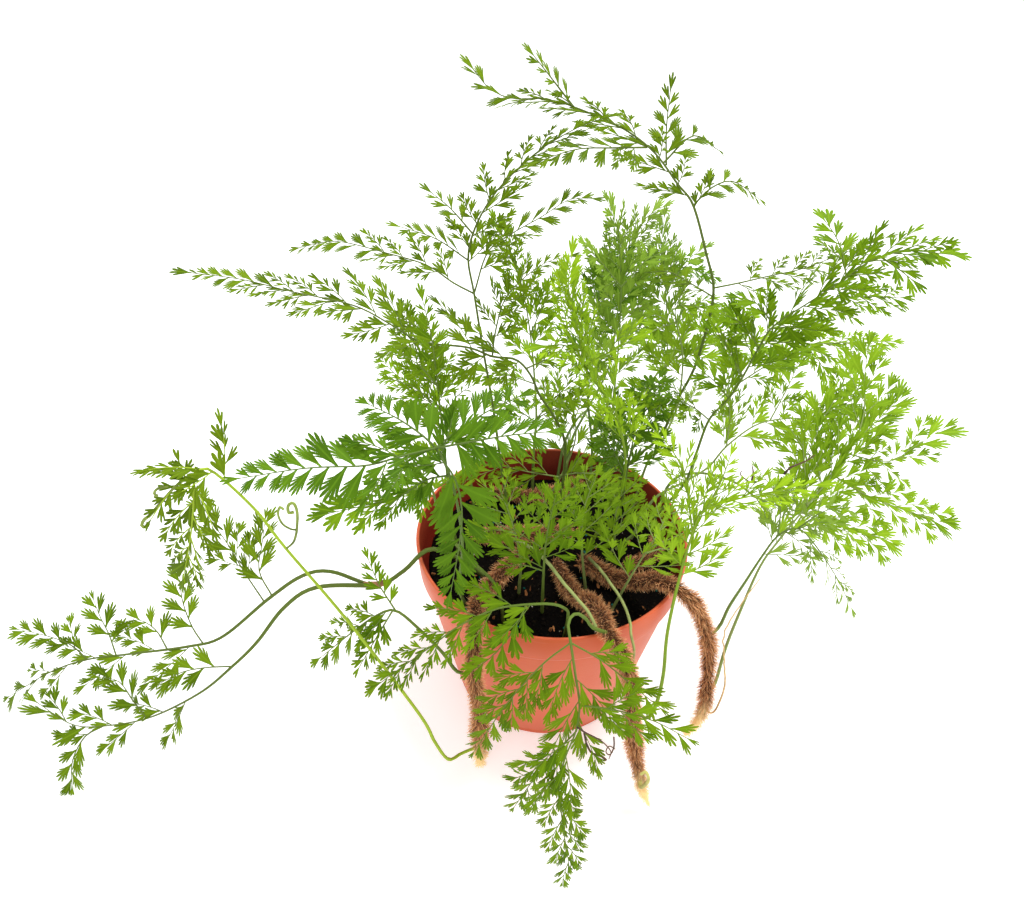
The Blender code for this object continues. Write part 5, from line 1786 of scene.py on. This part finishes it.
THREADS = (
    Thread("dry_root_strand", [(70.9, -47.4, 29.1), (75, -47, 28), (77, -46, 40), (76, -46, 52),
            (73, -46, 66), (70, -47, 84), (74, -46, 100), (79, -44, 112)],
           0.00042, 0.00018, ROOT_SKIN, "dry_root", ("dry_rootlet",), 0.0005),
    Thread("hooked_fiddlehead", [(39.7, -76.8, 21.1), (39.6, -80.6, 21.7), (41.2, -82, 27),
            (41.5, -82, 31.5), (40, -81.5, 35), (38.2, -81.5, 33)],
           0.0010, 0.0006, HOOK_SKIN, "fiddlehead_green", ("fiddlehead",)),
    Thread("stem_swelling", [(-71, -22.4, 81.2), (-74, -22.8, 79.9), (-77, -23.5, 79.6),
            (-81, -24, 81.5)],
           0.0017, 0.0012, NODE_SKIN, "dry_root", (), 0.0004, 0.0008, swollen=True),
    Thread("pale_stem_long", [(-24.3, -20, 107.2), (-18.4, -25, 111.5), (-12.6, -30, 113.5),
            (-7.4, -36, 114.9), (-2.4, -42, 114), (2.7, -48, 110.9), (7.9, -53, 107.9),
            (12.1, -57, 105.2), (15.4, -61, 101)],
           0.00085, 0.0006, PALE_SKIN, "leaf_pale"),
    Thread("pale_stem_right", [(16.5, -1.9, 79), (17.6, -34, 105.1), (20.7, -39, 104.1),
            (24.8, -45, 102.2), (27.8, -50, 99.1), (29.6, -53, 95), (29.3, -59.5, 95.6),
            (30.5, -64, 91.6), (30.5, -65, 84.3), (28.6, -66, 79.2)],
           0.00075, 0.0005, PALE_SKIN, "leaf_pale"),
    wisp("withered_stalk", [(7.3, -97, 89.2), (10.6, -98, 87.2), (15, -99, 85.2),
          (18.1, -99.5, 82.3), (20.2, -100, 78.7), (19.9, -100, 74)],
         0.00035, 0.00016),
    wisp("withered_leaflet", [(9.9, -98, 87.1), (11.4, -99, 81.2), (13.4, -100, 77.7),
          (16.8, -100, 75.9), (18.8, -100.5, 74.1)],
         0.0003, 0.0005),
    wisp("withered_hook", [(20.8, -98, 85.1), (21.2, -99, 80.3), (20.1, -100, 76.7),
          (18.4, -100, 78.6), (19.4, -99, 80.9), (21.7, -99, 79.1)],
         0.0003, 0.0002),
    wisp("withered_curl", [(75.5, -24, 144.3), (72.8, -24, 144.2), (70.2, -24, 146.1),
          (68.3, -24, 148), (68.7, -24, 149.5)],
         0.0004, 0.0002),
    wisp("withered_spike", [(73.4, -24, 145.2), (73, -24, 149.2), (71.5, -25, 153.4)],
         0.0005, 0.0002),
    wisp("withered_tip", [(89.9, -12, 138.6), (91.5, -12, 141.8), (94.6, -12, 144),
          (96.9, -12, 145.6), (99.7, -12, 148.7)],
         0.0005, 0.0002),
    young_tip("young_tip_left", [(-109.7, -95, 199.7), (-113, -97, 196.9), (-117.1, -98, 192.4),
               (-119.6, -99, 189.8), (-121.8, -99, 187.8), (-122.4, -100, 186.4),
               (-121, -100, 186.1), (-120.8, -99, 187.1)],
              0.00036, 0.00055),
    young_tip("young_tip_side", [(-115.7, -97, 193.8), (-114.4, -97, 192), (-114.4, -97, 189.7),
               (-115.4, -98, 189.8)],
              0.00026, 0.0004),
    young_tip("young_tip_back", [(-111.9, -95, 197.4), (-114.5, -96, 197.8), (-116.4, -97, 197.9),
               (-117.6, -97, 196), (-116.7, -97, 195.3)],
              0.0003, 0.00045),
    young_tip("young_tip_stem", [(-88.8, -84, 162.4), (-85.8, -84, 166), (-83.9, -84, 172.5),
               (-83.1, -84, 178.8), (-83.8, -84, 182.1), (-85.3, -84.5, 181.3),
               (-85.3, -85, 178.9), (-83.9, -84.5, 178.9)],
              0.00036, 0.00055),
    young_tip("young_tip_low", [(-84.4, -84, 170.9), (-86.1, -84, 171.2), (-88.4, -84, 173.4),
               (-89, -84, 177.4), (-88, -84, 180.3), (-86.8, -84.5, 179.6)],
              0.0003, 0.00045),
)


class Strands:
    """The dry rootlet, the fiddlehead, the swelling on the low stem, the pale bare stems,
    the withered bits and the curled young tips."""

    SIDES = 8
    KINK_SCALE = 260
    KINK_SEED = 19

    def build(self) -> None:
        """Sweep each strand with the same tree."""
        noise.seed_set(self.KINK_SEED)      # else noise_vector changes with the clock
        tree = GrowthTree("strand", {"Finish": "Material"})
        tree.finish(tree.swept(tree.curve(tree.given["Geometry"]), self.SIDES))
        for thread in THREADS:
            piece = tree.run(thread.name, self.line(thread),
                             {"Finish": thread.finish.material()})
            place_piece(piece, thread.slot, *thread.nodes)

    def line(self, thread: Thread) -> bpy.types.Mesh:
        """A strand's middle line with its thickness."""
        points = smooth_route(to_metres(thread.route, 0), thread.step)
        share = np.linspace(0, 1, len(points))
        wobble = np.array([noise.noise_vector(Vector(p) * self.KINK_SCALE) for p in points])
        points = points + wobble * thread.kink * np.sin(share * math.pi)[:, None]
        thick = thread.radius + (thread.end_radius - thread.radius) * share
        if thread.swollen:
            thick = thick * (0.35 + 0.65 * np.sin(share * math.pi) ** 0.6)
        return mesh_of(thread.name, points, chain(len(points)), thickness=thick, tint=share)


# ------------------------------------------------------------------------------ main

def main() -> None:
    """Build the stage and every piece of the plant."""
    logging.basicConfig(level=logging.INFO, format="%(name)s: %(message)s")
    Studio().build()
    Pot().build()
    PottingMix().build()
    FurCoat().build()
    Foliage().build()
    Strands().build()
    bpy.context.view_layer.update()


if __name__ == "__main__":
    main()
